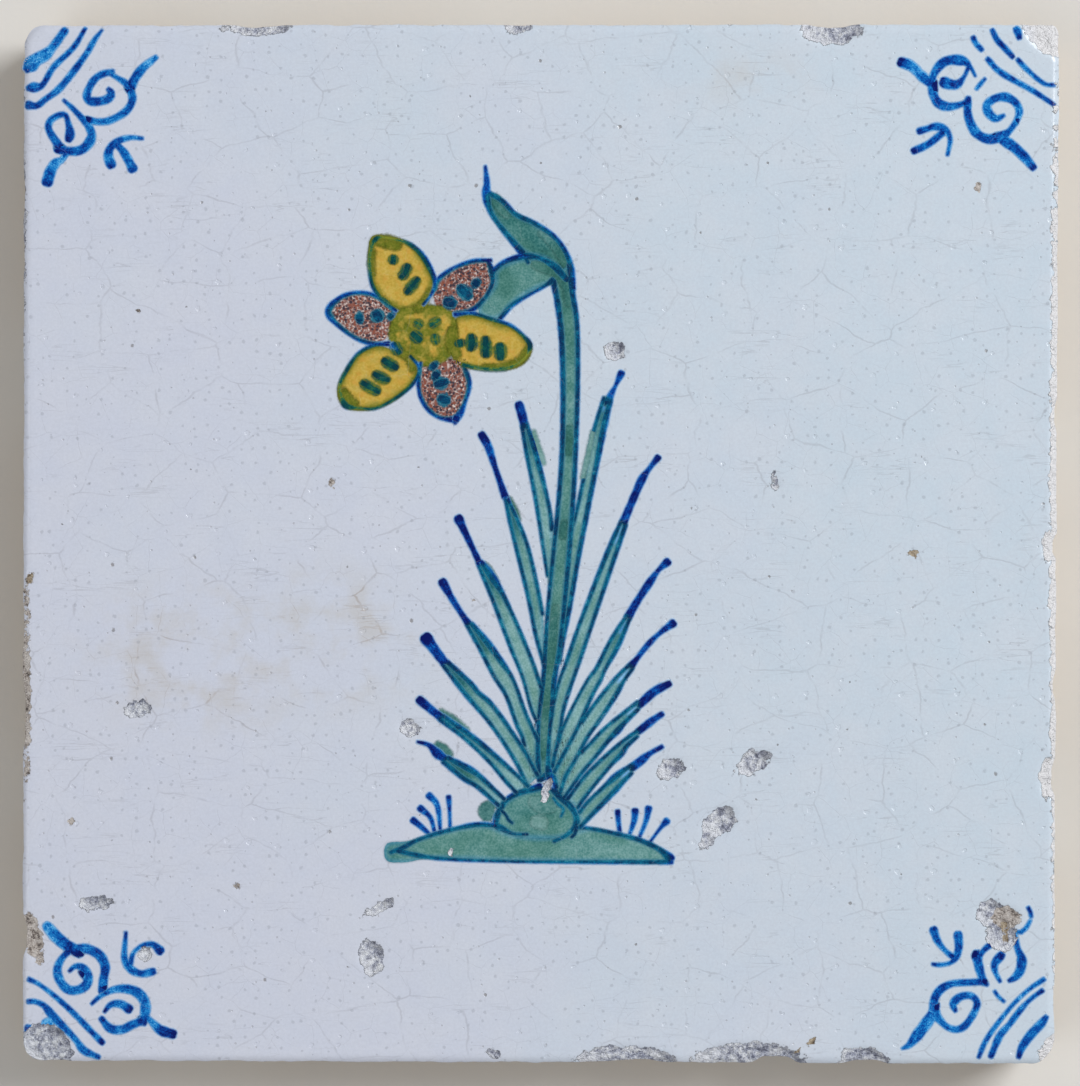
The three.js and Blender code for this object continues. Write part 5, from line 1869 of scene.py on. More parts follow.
@dataclass(frozen=True)
class Stem:
    """The stem and the two lobes of the sheath under the flower."""

    left: Points
    right: Points
    upper_lobe: Points
    lower_lobe: Points
    lines: tuple[Points, ...]
    dark: tuple[Points, ...]

    def build(self, bench: Bench) -> None:
        """Paints the washes.

        Args:
            bench: What the tile is made with.
        """
        stem = Piece("green_stem", Coat.STEM_WASH, Colour.GREEN, "stem_wash")
        bench.wash(stem, between(self.left, self.right), 0.6)
        for name, points, load in (("upper", self.upper_lobe, 0.84), ("lower", self.lower_lobe, 0.52)):
            piece = Piece(f"green_sheath_{name}", Coat.SHEATH_WASH, Colour.GREEN, f"sheath_{name}_wash")
            bench.wash(piece, smooth_path(points, WASH_STEP, closed=True), load)
        bench.blot("green_stem_blots", self.dark)

    def draw(self, bench: Bench) -> None:
        """Draws the blue lines."""
        piece = Piece("stem_lines", Coat.STEM_LINE, node="plant_brushwork")
        bench.lines(piece, ([self.left], 0.85), ([self.right], 0.8), (self.lines, 0.72))


@dataclass(frozen=True)
class Petal:
    """One petal: a wash, the line around it, and the marks inside it."""

    node: str
    colour: Colour
    wash: Points
    lines: tuple[Points, ...]
    marks: tuple[Points, ...]
    olive: tuple[Points, ...] = ()
    load: float = 0.4
    stray: tuple[float, float] = (0.0, 0.0)

    def build(self, bench: Bench) -> None:
        """Paints the wash.

        Args:
            bench: What the tile is made with.
        """
        outline = smooth_path(self.wash, PETAL_STEP, closed=True) + self.stray
        piece = Piece(f"wash_{self.node}", Coat.PETAL_WASH, self.colour, self.node)
        bench.wash(piece, outline, self.load, 0.3, start=0.0)


@dataclass(frozen=True)
class Flower:
    """The flower: six petals around a mottled middle."""

    petals: tuple[Petal, ...]
    middle: Points
    middle_marks: tuple[Points, ...]

    def build(self, bench: Bench) -> None:
        """Paints the petals' washes, the olive runs on them and the middle.

        Args:
            bench: What the tile is made with.
        """
        for petal in self.petals:
            petal.build(bench)
        bench.blot("olive_runs", [points for petal in self.petals for points in petal.olive], Colour.YELLOW)
        middle = Piece(
            "wash_flower_middle", Coat.MIDDLE_WASH, Colour.YELLOW, "flower_middle", "clotted_yellow"
        )
        bench.wash(middle, smooth_path(self.middle, PETAL_STEP, closed=True), 0.53, 0.9, start=0.0)

    def draw(self, bench: Bench) -> None:
        """Draws the petals' lines and marks.

        Args:
            bench: What the tile is made with.
        """
        lines = [points for petal in self.petals for points in petal.lines]
        bench.lines(Piece("petal_lines", Coat.PETAL_LINE, node="plant_brushwork"), (lines, 0.76, -0.05))
        marks = [points for petal in self.petals for points in petal.marks]
        halos = Piece("petal_mark_halos", Coat.HALO, finish="thin_blue")
        bench.lines(halos, (marks, 0.28, 0.42), (self.middle_marks, 0.2, 0.4))
        piece = Piece("petal_marks", Coat.MARK, finish="soft_blue")
        bench.lines(piece, (marks, 0.72, 0.03), (self.middle_marks, 0.42, -0.03))


@dataclass(frozen=True)
class Ground:
    """The bulb, the mound that it stands on, and the grass on both sides."""

    bulb: Points
    mound: Points
    lines: tuple[Points, ...]
    grass: tuple[Points, ...]
    blots: tuple[Points, ...]

    def build(self, bench: Bench) -> None:
        """Paints the washes.

        Args:
            bench: What the tile is made with.
        """
        parts = (
            ("mound", self.mound, 0.54, Coat.LEAF_WASH), ("bulb", self.bulb, 0.6, Coat.PETAL_WASH)
        )
        for name, points, load, coat in parts:
            piece = Piece(f"green_{name}", coat, Colour.GREEN, f"{name}_wash")
            bench.wash(piece, smooth_path(points, WASH_STEP, closed=True), load)
        bench.blot("green_ground_blots", self.blots)

    def draw(self, bench: Bench) -> None:
        """Draws the blue lines and the grass."""
        bench.lines(Piece("ground_lines", Coat.GROUND_LINE, node="plant_brushwork"), (self.lines, 0.72))
        bench.lines(Piece("grass_blades", Coat.LEAF_LINE, node="plant_brushwork"), (self.grass, 0.6))


CORNERS = (
    CornerMotif("nw", False, True, {
        "band_outer": (
            ((55, 7, 8, 3), (38, 30, 9, 3), (30, 38, 12, 2), (19, 44, 14, 3), (11, 51, 17, 2),
             (6, 56, 10, 3)),
        ),
        "band_middle": (((80, 5), (66, 28, 5), (40, 54, 6), (25, 77, 6), (15, 79, 11), (8, 80, 6)),),
        "band_inner": (
            ((101, 7, 2), (92, 19, 5), (82, 36, 6), (47, 81, 7), (30, 94, 6), (19, 102, 7), (8, 101, 10)),
        ),
        "scrolls": (
            ((109, 81, 5), (113, 87, 8), (107, 94, 9), (86, 96, 9), (82, 90, 8), (90, 71, 7),
             (100, 63, 7), (115, 59, 5)),
            ((110, 61), (122, 68, 5), (132, 75, 7), (138, 86, 8), (139, 95, 8), (132, 108, 8),
             (109, 121, 7), (95, 122, 7), (82, 120, 7)),
            ((136, 81, 11, 9), (141, 70, 10, 6), (152, 55, 9, 3), (169, 41, 5, 3)),
            ((53, 95, 3), (66, 107, 5), (86, 131, 8), (88, 141, 9), (82, 152, 10), (73, 158, 9),
             (60, 159, 9), (44, 156, 9)),
            ((48, 154, 9), (34, 130, 7), (37, 120, 7), (54, 113, 5), (59, 125, 6), (61, 138, 10),
             (59, 145, 8)),
            ((56, 163, 5, 2), (50, 170, 6, 1), (43, 174, 10, 2), (37, 183, 12, 3), (32, 199, 13, 7)),
        ),
        "sprig": (
            ((152, 143, 3), (136, 142, 5), (120, 147, 7), (111, 156, 8), (109, 166, 10), (113, 177, 11)),
            ((119, 150, 6), (128, 160, 8), (135, 172, 9), (140, 182, 11)),
        ),
    }, extra=(
        ((59, 158, 5, 3), (55, 165, 4, 2), (50, 171, 5, 3)),
        ((133, 78, 9, 10), (138, 85, 9, 10)),
        ((44, 153, 10, 10), (52, 156, 9, 10)),
        ((80, 119, 7, 10), (88, 121, 7, 10)),
    )),
    CornerMotif("ne", True, True, {
        "band_outer": (((52, 5, 7, 1), (50, 9, 8, 2), (48, 17, 6, 5)),),
        "band_middle_high": (((82, 7, 5), (76, 19, 6), (65, 31, 6), (56, 41, 5)),),
        "band_middle_low": (((50, 44, 5), (40, 55, 5), (15, 75), (4, 76)),),
        "band_inner_high": (((106, 16, 5), (103, 23, 5), (95, 32, 5)),),
        "band_inner_low": (((88, 43, 5), (74, 58, 6), (28, 85, 5), (4, 101)),),
        "scrolls": (
            ((103, 65, 2), (109, 54), (118, 46, 10), (142, 47, 10), (158, 70, 8), (151, 97, 10),
             (138, 103, 9), (124, 101, 6), (112, 96, 5)),
            ((111, 52), (117, 65), (126, 75, 9), (135, 75, 12), (144, 72, 12)),
            ((159, 75, 8, 4), (170, 65, 11, 2), (184, 52, 11, 4), (197, 47, 12, 9)),
            ((112, 92, 6), (113, 108, 8), (110, 122, 9), (101, 137, 10), (86, 144, 10), (72, 141, 11),
             (60, 133, 6), (48, 110, 7), (53, 98, 8), (66, 91, 9), (81, 94, 8), (89, 102, 9), (85, 113, 9),
             (77, 118, 8), (67, 114, 3)),
            ((70, 144, 11), (56, 153, 11), (42, 166, 10), (30, 180, 8)),
        ),
        "sprig": (
            ((174, 134, 8), (164, 131, 6), (152, 128, 8), (142, 131, 7), (135, 142, 5), (138, 164, 3)),
            ((181, 159, 8), (162, 150, 7), (143, 135, 7)),
        ),
    }, extra=(
        ((91, 68, 3, 3), (97, 75, 4, 4), (102, 81, 3, 3)),
        ((74, 140, 10, 10), (83, 143, 9, 10)),
        ((155, 72, 8, 10), (154, 84, 7, 10)),
        ((113, 96, 8, 10), (113, 104, 8, 10)),
        ((49, 116, 4, 10), (52, 124, 5, 10)),
    )),
    CornerMotif("sw", False, False, {
        "band_outer": (
            ((8, 74, 5), (17, 74, 5), (28, 69, 6), (40, 55, 9), (54, 41, 7), (68, 26, 6), (78, 13, 8),
             (97, 4, 5)),
        ),
        "band_inner": (((9, 102, 5), (20, 97), (52, 72, 5), (102, 22, 6)),),
        "edge_dot": (((9, 42, 9), (8, 36, 8)),),
        "scrolls": (
            ((31, 170, 10, 0), (43, 156, 13, 2), (56, 145, 12, 5), (69, 137, 12, 9), (73, 132, 7, 9)),
            ((69, 142, 7), (83, 140, 10), (98, 132, 10), (105, 118, 10), (103, 102, 9), (101, 86, 8)),
            ((107, 85), (98, 80), (88, 71, 3)),
            ((60, 138, 6), (50, 127, 7), (45, 114, 9), (49, 99, 9), (59, 89, 9), (72, 89, 9),
             (82, 96, 10), (83, 107, 10), (76, 117, 8), (67, 118, 5), (60, 112, 3)),
            ((104, 84), (116, 89, 7), (131, 90, 9), (146, 85, 11), (155, 73, 11), (155, 58, 10),
             (153, 46, 7)),
            ((152, 50, 8), (139, 45, 9), (126, 39, 9), (112, 40, 9), (100, 53, 6)),
            ((155, 55, 6, 5), (160, 52, 5, 1), (166, 46, 8, 2), (175, 38, 10, 7), (191, 33, 11, 10)),
        ),
        "scroll_heart": (((104, 61, 3), (112, 70, 6), (124, 71, 8), (136, 64, 10)),),
        "sprig": (
            ((131, 161, 3), (130, 125, 7), (138, 114, 8), (151, 109, 7), (166, 112, 8)),
            ((137, 121, 5), (140, 134), (151, 144), (164, 146, 6), (175, 137, 10)),
        ),
    }, extra=(
        ((69, 137, 9, 10), (76, 135, 9, 10)),
        ((153, 49, 8, 10), (150, 54, 9, 10)),
        ((102, 87, 9, 10), (103, 96, 8, 10)),
        ((74, 112, 6, 10), (79, 106, 7, 10)),
        ((36, 49, 10, -2), (30, 45, 12, -2)),
    )),
    CornerMotif("se", True, False, {
        "band_outer": (((14, 55, 5), (20, 47, 9), (34, 32, 9), (45, 16, 8), (49, 4, 5)),),
        "band_middle": (((19, 88, 5), (34, 77), (48, 62, 6), (60, 46, 6), (72, 32, 7), (84, 5, 6)),),
        "band_inner": (((17, 102, 5), (35, 90), (57, 69), (90, 25, 5), (99, 4)),),
        "scrolls": (
            ((81, 148, 7), (92, 139, 5), (98, 131, 5)),
            ((101, 136, 8), (100, 124, 10), (92, 98, 6), (88, 95)),
            ((93, 99, 6), (112, 98, 7), (134, 96, 7), (148, 88, 9), (155, 75, 8), (154, 60, 11),
             (146, 49, 7), (138, 42, 6), (127, 39, 7), (116, 44, 7), (101, 72, 7), (108, 81, 7),
             (122, 80, 8), (131, 71, 8), (128, 62)),
            ((155, 60, 11, 6), (163, 49, 13, 3), (179, 28, 11, 4), (187, 19, 6, 3), (195, 15, 2, 2)),
        ),
        "scroll_heart": (((70, 133, 9), (79, 121, 8), (78, 111, 5), (72, 99, 3)),),
        "scroll_side": (
            ((45, 161, 3), (53, 161), (53, 153, 6), (50, 140, 6), (45, 127, 10), (47, 113, 10),
             (54, 104, 7), (61, 100)),
        ),
        "sprig": (
            ((156, 165, 9), (151, 151, 7), (142, 139, 5), (129, 128, 5)),
            ((125, 159, 10), (124, 142, 8), (128, 129, 7), (134, 123), (149, 120), (157, 121, 3)),
        ),
    }, extra=(
        ((37, 192), (34, 186), (33, 180, 3, 3)),
        ((34, 176, 3, 1), (40, 166, 4, 2), (46, 161, 4, 3)),
        ((79, 87, 3, 3), (74, 80, 3, 3), (67, 74, 3, 2)),
        ((154, 62, 9, 10), (152, 71, 8, 10)),
        ((102, 135, 9, 10), (103, 129, 9, 10)),
        ((94, 98, 7, 10), (90, 100, 6, 10)),
    )),
)

FOLIAGE = Foliage((
    Leaf(
        "leaf_left_1",
        ((-26, 174, 9), (-23, 164, 10), (-18, 144, 9)),
        ((-22, 146), (-16, 110), (-6, 60), (10, -42, 3)),
        ((-16, 148), (-7, 120, 6), (12, 45), (16, 16, 5)),
        low_right=((17, -15), (10, -50)),
        overhang=(((-8, 140, 5, 4), (-3, 122, 6, 4), (3, 106, 5, 4), (6, 98, 3, 2)),),
    ),
    Leaf(
        "leaf_left_2",
        ((-73, 136, 9), (-65, 122, 9), (-56, 95, 6), (-43, 57, 8)),
        ((-44, 62), (-38, 30), (-14, -70), (-5, -115), (5, -152)),
        ((-40, 55), (-17, 2), (-5, -45), (4, -90)),
        low_right=((5, -120), (5, -152)), start=1,
        overhang=(((-39, 56, 5), (-33, 43, 8), (-26, 28, 5)),),
    ),
    Leaf(
        "leaf_left_3",
        ((-102, 31, 11), (-95, 16, 8), (-84, -7, 6), (-76, -24, 7)),
        ((-78, -25), (-58, -74), (-37, -130), (-21, -170, 3), (-10, -210, 3), (-3, -226, 3)),
        ((-73, -24, 5), (-59, -44, 9), (-46, -65, 5), (-11, -144), (2, -182)),
        low_right=((0, -220),), start=0.6,
        overhang=(((-69, -27, 6), (-62, -39, 10), (-53, -52, 6)),),
    ),
    Leaf(
        "leaf_left_4",
        ((-122, -49, 11), (-110, -70, 7), (-98, -89, 6), (-89, -102, 8)),
        ((-91, -104), (-73, -137), (-56, -170), (-43, -190), (-28, -230), (-22, -243), (-19, -255)),
        ((-85, -102, 5), (-64, -127, 7), (-46, -152, 6), (-34, -170), (-17, -215), (-3, -246)),
        low_left=((-9, -280), (-3, -292)),
        low_right=((-3, -270), (-2, -290)),
    ),
    Leaf(
        "leaf_left_5",
        ((-143, -119, 15), (-132, -134, 11), (-119, -151, 10)),
        ((-122, -153), (-94, -189, 5), (-62, -227), (-30, -275), (-15, -306)),
        ((-115, -150, 5), (-84, -179, 5), (-77, -188, 5), (-62, -201, 5), (-20, -260), (-2, -293)),
        start=0.3,
    ),
    Leaf(
        "leaf_left_6",
        ((-151, -197, 10), (-138, -208, 9), (-123, -220, 8)),
        ((-125, -222, 5), (-96, -244), (-62, -276), (-42, -300), (-29, -314)),
        ((-121, -218, 5), (-80, -247, 6), (-25, -295), (-14, -306)),
        dark=0.85,
        overhang=(((-125, -211, 5, 6), (-107, -223, 8, 7), (-90, -236, 5, 5)),),
    ),
    Leaf(
        "leaf_left_7",
        ((-153, -250, 3), (-139, -254, 5), (-129, -264, 10), (-118, -272, 8)),
        ((-121, -275, 5), (-94, -297, 5), (-80, -305, 5), (-51, -330)),
        ((-115, -270, 5), (-90, -283, 7), (-80, -289, 6), (-44, -322)),
        overhang=(((-129, -253, 9, 8), (-123, -259, 13, 8), (-112, -267, 9, 7)),),
    ),
    Leaf(
        "leaf_right_1",
        ((103, 213, 8), (95, 196), (89, 184, 8), (85, 174, 11)),
        ((81, 182), (68, 140), (49, 50), (42, 22)),
        ((89, 178, 5), (82, 150, 7), (73, 105, 6), (49, -18, 5), (38, -80, 5), (29, -124, 5), (25, -150)),
        low_left=((37, 0), (32, -60), (25, -135)),
        fork=1.6, dark=0.55, load=0.8,
        overhang=(((67, 140, 4, 3), (61, 110, 5, 4), (54, 80, 4, 3)),),
    ),
    Leaf(
        "leaf_right_2",
        ((149, 107, 8), (138, 93, 5), (129, 80, 9), (119, 58, 8), (105, 25, 10)),
        ((102, 26), (87, -8, 5), (50, -103), (33, -152), (26, -170, 3), (18, -200, 3)),
        ((108, 22, 5), (55, -135), (30, -210), (27, -230), (25, -243, 5), (20, -262), (16, -282)),
        low_left=((14, -220), (12, -250), (12, -280)),
        fork=2.8, dark=0.3, load=0.9,
    ),
    Leaf(
        "leaf_right_3",
        ((161, -24, 10), (150, -34, 5), (139, -49, 8), (120, -78, 8), (111, -94, 10)),
        ((109, -92), (89, -123), (70, -160), (62, -170, 3), (40, -210, 3), (26, -240, 3)),
        ((113, -96), (99, -129, 5), (80, -164), (78, -170), (67, -190), (49, -230), (18, -289)),
        low_left=((22, -254), (17, -278)), fork=2.2, dark=0.5, load=0.8,
    ),
    Leaf(
        "leaf_right_4",
        ((168, -101, 10), (153, -112, 5), (138, -126, 6), (122, -146, 6), (114, -156, 9)),
        ((112, -154), (96, -170), (66, -207), (53, -226)),
        ((117, -158), (105, -175), (98, -188, 5), (74, -225), (61, -243), (43, -276), (33, -293),
         (25, -316)),
        low_left=((44, -240), (33, -260), (23, -280), (19, -289)),
        fork=2.5, dark=0.1, load=0.85,
    ),
    Leaf(
        "leaf_right_5",
        ((163, -177, 8), (144, -187, 10), (125, -204, 9)),
        ((123, -200), (80, -235), (64, -252), (52, -264)),
        ((124, -209), (106, -227, 5), (100, -234, 7), (86, -249, 5), (71, -268), (54, -288), (31, -320)),
        low_left=((43, -276), (33, -293), (27, -311)),
        fork=2, dark=0.1, load=0.9,
    ),
    Leaf(
        "leaf_right_6",
        ((154, -215, 6), (142, -223, 8), (124, -237, 8)),
        ((123, -236), (100, -253), (60, -290), (35, -322)),
        ((123, -243), (109, -256, 5), (104, -264, 6), (90, -279), (56, -321), (48, -333)),
        fork=2, dark=0.1, load=0.8,
    ),
    Leaf(
        "leaf_right_7",
        ((154, -256, 5), (138, -265, 6), (127, -274, 10), (115, -283, 9)),
        ((116, -279), (105, -286, 5), (96, -293, 7), (78, -309), (60, -326), (50, -339)),
        ((116, -289), (106, -299, 5), (97, -309, 6), (50, -358)),
        fork=2, dark=0.1, load=0.75,
    ),
))

STEM = Stem(
    left=((17, 329, 6), (23, 298, 6), (28, 250, 6), (28, 110, 5), (10, -90), (5, -170, 5), (-1, -225),
          (-2, -270, 5), (0, -299, 5)),
    right=((37, 350, 5), (41, 315, 6), (47, 275, 5), (44, 85, 5), (25, -135, 5), (18, -175, 6),
           (17, -195, 6), (12, -245), (11, -282, 6), (12, -292, 10)),
    upper_lobe=((-65, 435), (-53, 437), (-38, 418), (-6, 400), (20, 379), (39, 346), (36, 336), (22, 346),
                (6, 357), (-17, 363), (-43, 388), (-61, 414)),
    lower_lobe=((-54, 341), (-41, 350), (-19, 356), (2, 354), (20, 345), (36, 334), (34, 324), (22, 325),
                (5, 323), (-34, 300), (-47, 286), (-56, 281), (-74, 286), (-76, 296), (-66, 309),
                (-56, 324)),
    lines=(
        ((-68, 472, 3), (-66, 450, 7), (-67, 436, 9), (-61, 414, 5), (-20, 361, 8)),
        ((-64, 439, 5), (-46, 428, 5), (-30, 412, 5), (-7, 401, 5), (18, 384, 5), (32, 366, 5),
         (40, 344, 6), (42, 318, 6)),
        ((-60, 339, 6), (-44, 352, 5), (-19, 359, 8), (0, 357, 5), (19, 346, 8), (35, 329, 6)),
        ((17, 329, 7), (5, 321), (-34, 298, 5), (-50, 280, 5)),
        ((-17, 356), (-14, 351)),
    ),
    dark=(
        ((38, 145, 8), (38, 129, 10), (37, 112, 8)),
        ((31, 26, 7), (30, 16, 9), (29, 6, 7)),
        ((20, 338, 10, 9), (30, 330, 14, 10), (36, 316, 11, 9), (36, 298, 7, 8)),
        ((20, -80, 7, 7), (15, -130, 10, 8), (8, -230, 11, 8), (6, -270, 9, 9)),
        ((-59, 430, 5, 9), (-51, 420, 7, 8), (-40, 409, 6, 7)),
        ((0, 389, 5, 7), (15, 376, 8, 8), (26, 361, 9, 9), (32, 348, 7, 9)),
        ((-8, 349, 8, 6), (7, 344, 10, 7), (20, 338, 8, 8)),
    ),
)

FLOWER = Flower(
    petals=(
        Petal(
            "petal_stippled_right", Colour.BROWN,
            wash=((-65, 349), (-84, 350), (-124, 329), (-130, 313), (-126, 298), (-110, 292), (-92, 293),
                  (-77, 302), (-63, 319), (-60, 336)),
            lines=(
                ((-61, 354, 5), (-84, 353, 5), (-108, 344, 5), (-126, 331, 6), (-133, 317, 5)),
                ((-64, 352, 5), (-60, 342, 7), (-59, 326, 5), (-70, 305, 5), (-86, 291, 6), (-106, 287, 6)),
            ),
            marks=(
                ((-82, 327, 7), (-78, 324, 8)),
                ((-100, 320, 8), (-94, 314, 10), (-88, 308, 8)),
                ((-118, 302, 8), (-112, 301, 11), (-107, 300, 8)),
            ),
            load=1.05,
        ),
        Petal(
            "petal_stippled_left", Colour.BROWN,
            wash=((-263, 290), (-251, 302), (-228, 310), (-206, 306), (-189, 293), (-184, 276),
                  (-194, 259), (-212, 253), (-238, 263), (-255, 279)),
            lines=(
                ((-183, 292, 5), (-197, 305, 6), (-218, 313, 5), (-242, 311, 5), (-260, 299, 7),
                 (-265, 288, 8), (-246, 267, 5), (-223, 253, 5), (-203, 249, 5), (-189, 251)),
            ),
            marks=(
                ((-228, 282, 8), (-224, 282, 9)),
                ((-206, 289, 8), (-203, 284, 10), (-201, 280, 8)),
                ((-188, 285, 6), (-186, 283, 7)),
            ),
            load=0.85,
        ),
        Petal(
            "petal_stippled_low", Colour.BROWN,
            wash=((-146, 223), (-149, 200), (-142, 176), (-128, 161), (-112, 160), (-98, 174), (-91, 196),
                  (-93, 217), (-106, 226), (-128, 229)),
            lines=(
                ((-149, 226), (-152, 202, 5), (-149, 182, 5), (-138, 165, 5), (-123, 156, 5),
                 (-104, 156, 8), (-93, 178, 5), (-88, 200, 6), (-95, 222, 5)),
            ),
            marks=(
                ((-134, 223, 7), (-132, 221, 9)),
                ((-132, 211, 7), (-128, 209, 8)),
                ((-130, 198, 6), (-123, 200, 8), (-116, 202, 6)),
                ((-125, 181, 8), (-120, 179, 9), (-114, 178, 7)),
                ((-106, 156, 7), (-103, 155, 8)),
            ),
            load=0.95,
        ),
        Petal(
            "petal_yellow_top", Colour.YELLOW,
            wash=((-206, 379), (-182, 378), (-160, 369), (-144, 351), (-135, 328), (-139, 310),
                  (-153, 294), (-168, 291), (-186, 298), (-202, 314), (-210, 340), (-210, 366)),
            lines=(
                ((-180, 291), (-198, 305, 5), (-210, 324, 5), (-213, 358, 5, 2), (-210, 373, 5, 3),
                 (-205, 381, 6, 10), (-199, 383, 4, 2), (-177, 379, 4, 2), (-166, 376, 5, 9),
                 (-147, 360, 7), (-131, 324, 6), (-137, 310), (-146, 299)),
            ),
            marks=(
                ((-183, 359, 6), (-184, 351, 6)),
                ((-165, 348, 6), (-168, 340, 7), (-174, 332, 5)),
                ((-152, 331, 5), (-159, 323, 6), (-167, 313, 5)),
            ),
            olive=(
                ((-204, 378, 10), (-190, 377, 15), (-176, 372, 11)),
                ((-209, 366, 7), (-211, 350, 7), (-209, 336, 5)),
                ((-138, 316, 5), (-144, 302, 8), (-154, 292, 9)),
            ),
            stray=(-0.2, 0.3),
        ),
        Petal(
            "petal_yellow_left", Colour.YELLOW,
            wash=((-203, 245), (-224, 236), (-249, 194), (-242, 174), (-214, 170), (-186, 179),
                  (-162, 199), (-154, 218), (-166, 233), (-184, 241)),
            lines=(
                ((-189, 248), (-206, 248, 5), (-227, 237, 5), (-243, 214, 5, 8), (-251, 196, 4, 3),
                 (-248, 182, 5, 3), (-243, 172, 8, 10), (-228, 169, 4, 5), (-204, 169, 4, 7),
                 (-159, 199, 5), (-151, 218, 5), (-162, 234)),
            ),
            marks=(
                ((-196, 229, 6), (-186, 223, 8), (-179, 219, 6)),
                ((-208, 212, 5), (-197, 206, 7), (-189, 204, 5)),
                ((-223, 201, 5), (-212, 194, 7), (-201, 189, 5)),
            ),
            olive=(((-246, 192, 8), (-242, 180, 14), (-230, 173, 9)), ((-164, 232, 8), (-158, 216, 7))),
            stray=(-0.2, -0.15),
        ),
        Petal(
            "petal_yellow_right", Colour.YELLOW,
            wash=((-105, 281), (-86, 285), (-32, 266), (-14, 247), (-24, 229), (-48, 221), (-104, 229),
                  (-111, 248), (-109, 266)),
            lines=(
                ((-106, 286, 5), (-83, 287, 5), (-60, 280, 5), (-36, 272, 5), (-19, 258, 5),
                 (-12, 248, 7, 10), (-15, 237, 4, 2), (-21, 229, 4, 1), (-41, 219, 5, 3), (-70, 218, 5, 4),
                 (-96, 223, 5, 6)),
            ),
            marks=(
                ((-100, 253, 6, 5), (-99, 247, 6, 5)),
                ((-86, 260, 6), (-85, 250, 8), (-87, 242, 6)),
                ((-68, 257, 6), (-67, 246, 8), (-67, 234, 7)),
                ((-50, 248, 8), (-49, 239, 10), (-49, 231, 8)),
            ),
            olive=(
                ((-14, 244, 8), (-24, 229, 9), (-46, 221, 7), (-70, 220, 6)),
                ((-109, 268, 12), (-110, 248, 14), (-102, 234, 9)),
            ),
            stray=(0.2, -0.25),
        ),
    ),
    middle=((-179, 270), (-172, 284), (-154, 288), (-132, 289), (-116, 283), (-115, 244), (-126, 234),
            (-148, 230), (-166, 238), (-179, 250)),
    middle_marks=(
        ((-156, 276, 5), (-148, 273, 6)),
        ((-137, 273, 6), (-126, 279, 6)),
        ((-159, 262, 7), (-150, 254, 8)),
        ((-132, 260, 5), (-130, 250, 5)),
        ((-183, 249, 7), (-176, 238, 7)),
    ),
)

GROUND = Ground(
    bulb=((-3, -309), (-30, -317), (-54, -339), (-52, -356), (-36, -366), (24, -370), (42, -363),
          (47, -348), (43, -334), (18, -312)),
    mound=((-192, -379), (-165, -375), (-100, -358), (-64, -355), (-52, -360), (-28, -368), (14, -370),
           (65, -359), (95, -365), (125, -373), (154, -386), (162, -398), (80, -400), (-40, -399),
           (-140, -396), (-172, -401), (-192, -398)),
    lines=(
        ((1, -306, 8), (-40, -322, 6), (-55, -354, 7), (-46, -359, 6), (-34, -365, 3), (-15, -366, 3)),
        ((17, -309, 8), (25, -319, 7), (36, -328, 7), (45, -340, 7), (46, -354, 7), (34, -367), (18, -375)),
        ((1, -298, 5), (9, -293, 9), (17, -295, 7), (21, -308, 5)),
        ((-187, -389), (-172, -383, 5), (-150, -372), (-80, -354, 5), (-55, -355, 5)),
        ((-180, -386, 5), (-160, -391, 5), (-130, -396), (-40, -400, 3), (166, -401, 5)),
        ((46, -357), (65, -359), (125, -373, 5), (152, -386, 6), (165, -397, 11)),
        ((-48, -336, 3), (-42, -342, 3), (-39, -348, 3), (-34, -352, 3)),
        ((46, -360), (44, -366), (40, -370, 3)),
        ((17, -320, 2, 3), (23, -328, 3, 3), (30, -334, 3, 3), (27, -344, 2, 2)),
    ),
    grass=(
        ((-159, -348, 8), (-149, -356, 6), (-136, -368)),
        ((-150, -333, 8), (-137, -345, 5), (-131, -366)),
        ((-139, -317, 8), (-129, -328, 6), (-124, -364, 3)),
        ((-114, -319, 6), (-113, -334), (-112, -361, 3)),
        ((98, -337, 6), (99, -350, 5), (101, -366)),
        ((120, -336, 8), (119, -348, 6), (112, -369, 3)),
        ((137, -333, 8), (134, -348, 5), (124, -373, 3)),
        ((160, -349, 8), (152, -358), (137, -378, 3)),
    ),
    blots=(
        ((-59, -327, 11), (-66, -336, 18), (-66, -346, 13)),
        ((-10, -324, 12, 6), (4, -330, 19, 7), (18, -332, 13, 6)),
        ((-8, -350, 12, 3), (6, -353, 15, 3)),
    ),
)


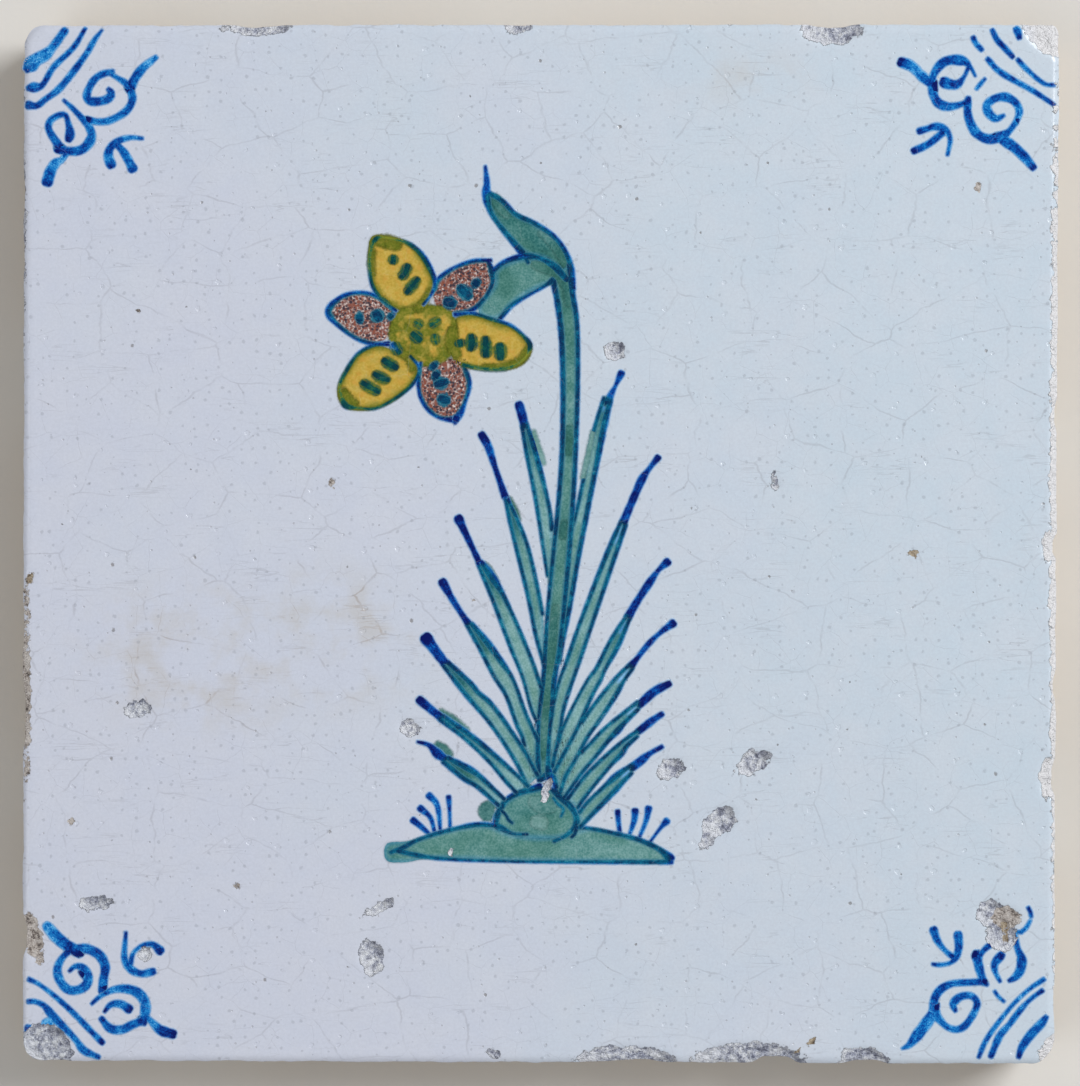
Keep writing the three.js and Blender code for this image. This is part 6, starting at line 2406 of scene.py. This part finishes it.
@dataclass(frozen=True)
class Studio:
    """The camera straight above the tile, a soft light from the upper right, and a pale floor."""

    frame_width: float = 135.5
    distance: float = 0.75
    sensor: float = 36.0
    aim: tuple[float, float] = (0.06, -0.06)
    sky: float = 0.27
    key_power: float = 11.5
    fill_power: float = 4.0

    def camera(self, level: float) -> None:
        """Sets the camera up so that the photograph's frame spans its width on the face.

        Args:
            level: The height of the face, in millimetres.
        """
        data = bpy.data.cameras.new("photo_view")
        data.sensor_fit = "HORIZONTAL"
        data.sensor_width = self.sensor
        data.lens = self.sensor * self.distance / (self.frame_width * MM)
        data.clip_start = 0.01
        camera = bpy.data.objects.new("photo_view", data)
        camera.location = (self.aim[0] * MM, self.aim[1] * MM, level * MM + self.distance)
        bpy.context.scene.collection.objects.link(camera)
        bpy.context.scene.camera = camera

    def lights(self) -> None:
        """Lights the tile with two soft boxes and an even sky."""
        world = bpy.data.worlds.new("studio")
        world.use_nodes = True
        world.node_tree.nodes["Background"].inputs["Color"].default_value = (1.0, 1.0, 1.0, 1.0)
        world.node_tree.nodes["Background"].inputs["Strength"].default_value = self.sky
        bpy.context.scene.world = world
        self.box("key", (0.75, 0.45, 0.85), 0.55, self.key_power)
        self.box("fill", (-0.8, -0.4, 0.9), 0.9, self.fill_power)

    def box(self, name: str, place: tuple[float, float, float], size: float, power: float) -> None:
        """Hangs a square soft box that faces the tile.

        Args:
            name: Its name.
            place: Where it hangs, in metres.
            size: Its width, in metres.
            power: Its power, in watts.
        """
        data = bpy.data.lights.new(name, "AREA")
        data.shape = "SQUARE"
        data.size = size
        data.energy = power
        lamp = bpy.data.objects.new(name, data)
        lamp.location = place
        lamp.rotation_euler = (-lamp.location).to_track_quat("-Z", "Y").to_euler()
        bpy.context.scene.collection.objects.link(lamp)

    def floor(self, material: bpy.types.Material) -> None:
        """Lays the floor.

        Args:
            material: Its finish.
        """
        draft = MeshDraft()
        stops = np.linspace(-1500, 1500, 9)
        x, y = (g.ravel() for g in np.meshgrid(stops, stops))
        draft.add(x, y, 0.0)
        draft.lattice(0, len(stops), len(stops))
        draft.build("pale_floor", material)

    def build(self, level: float, material: bpy.types.Material) -> None:
        """Builds the whole studio.

        Args:
            level: The height of the face, in millimetres.
            material: The floor's finish.
        """
        self.camera(level)
        self.lights()
        self.floor(material)
        bpy.context.scene.view_settings.view_transform = "Standard"


FINISHES: dict[str, Finish] = {
    "tin_glaze": WhiteGlaze("tin_glaze", 0.16),
    "fired_clay": BareClay("fired_clay", 0.92),
    "lime_mortar": BareClay("lime_mortar", 0.95, "#b4ada0", "#d3cdc1", "#e6e2d8", 0.5),
    "cobalt_blue": CobaltBlue("cobalt_blue", 0.16),
    "soft_blue": CobaltBlue("soft_blue", 0.16, softness=0.2, wander=0.1),
    "copper_green": CopperGreen("copper_green", 0.18, opacity=0.96, bleed=0.2),
    "thin_blue": CobaltBlue("thin_blue", 0.16, opacity=0.75, softness=0.2, wander=0.14, bleed=0.1),
    "soft_copper_green": CopperGreen(
        "soft_copper_green", 0.18, opacity=0.85, softness=0.28, wander=0.12, bleed=0.0, rim_tint=0.0
    ),
    "soft_antimony_yellow": AntimonyYellow(
        "soft_antimony_yellow", 0.18, opacity=0.95, softness=0.36, wander=0.2, bleed=0.0
    ),
    "antimony_yellow": AntimonyYellow("antimony_yellow", 0.18, softness=0.09, bleed=0.2),
    "clotted_yellow": AntimonyYellow(
        "clotted_yellow", 0.18, softness=0.28, bleed=0.1, wander=0.12, clots=1.2
    ),
    "stippled_brown": StippledBrown("stippled_brown", 0.2),
    "floor": PaleFloor("pale_floor", 0.7),
}


def main() -> None:
    """Builds the tile, its paint and the studio, at the size of the glaze in model.glb."""
    logging.basicConfig(level=logging.INFO, format="%(name)s: %(message)s")
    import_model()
    low, high = (np.array(corner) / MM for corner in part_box("tin_glaze"))
    face = TileFace(half=float(high[0] - low[0]) / 2, level=float(high[2]))
    bench = Bench(face, {name: finish.material() for name, finish in FINISHES.items()})

    ClayBody().build(bench)
    GlazeCoat().build(bench)
    for part in (FOLIAGE, STEM, FLOWER, GROUND):
        part.build(bench)
    for part in (FOLIAGE, STEM, FLOWER, GROUND):
        part.draw(bench)
    for corner in CORNERS:
        corner.build(bench)
    Studio().build(face.level, bench.finishes["floor"])


if __name__ == "__main__":
    main()
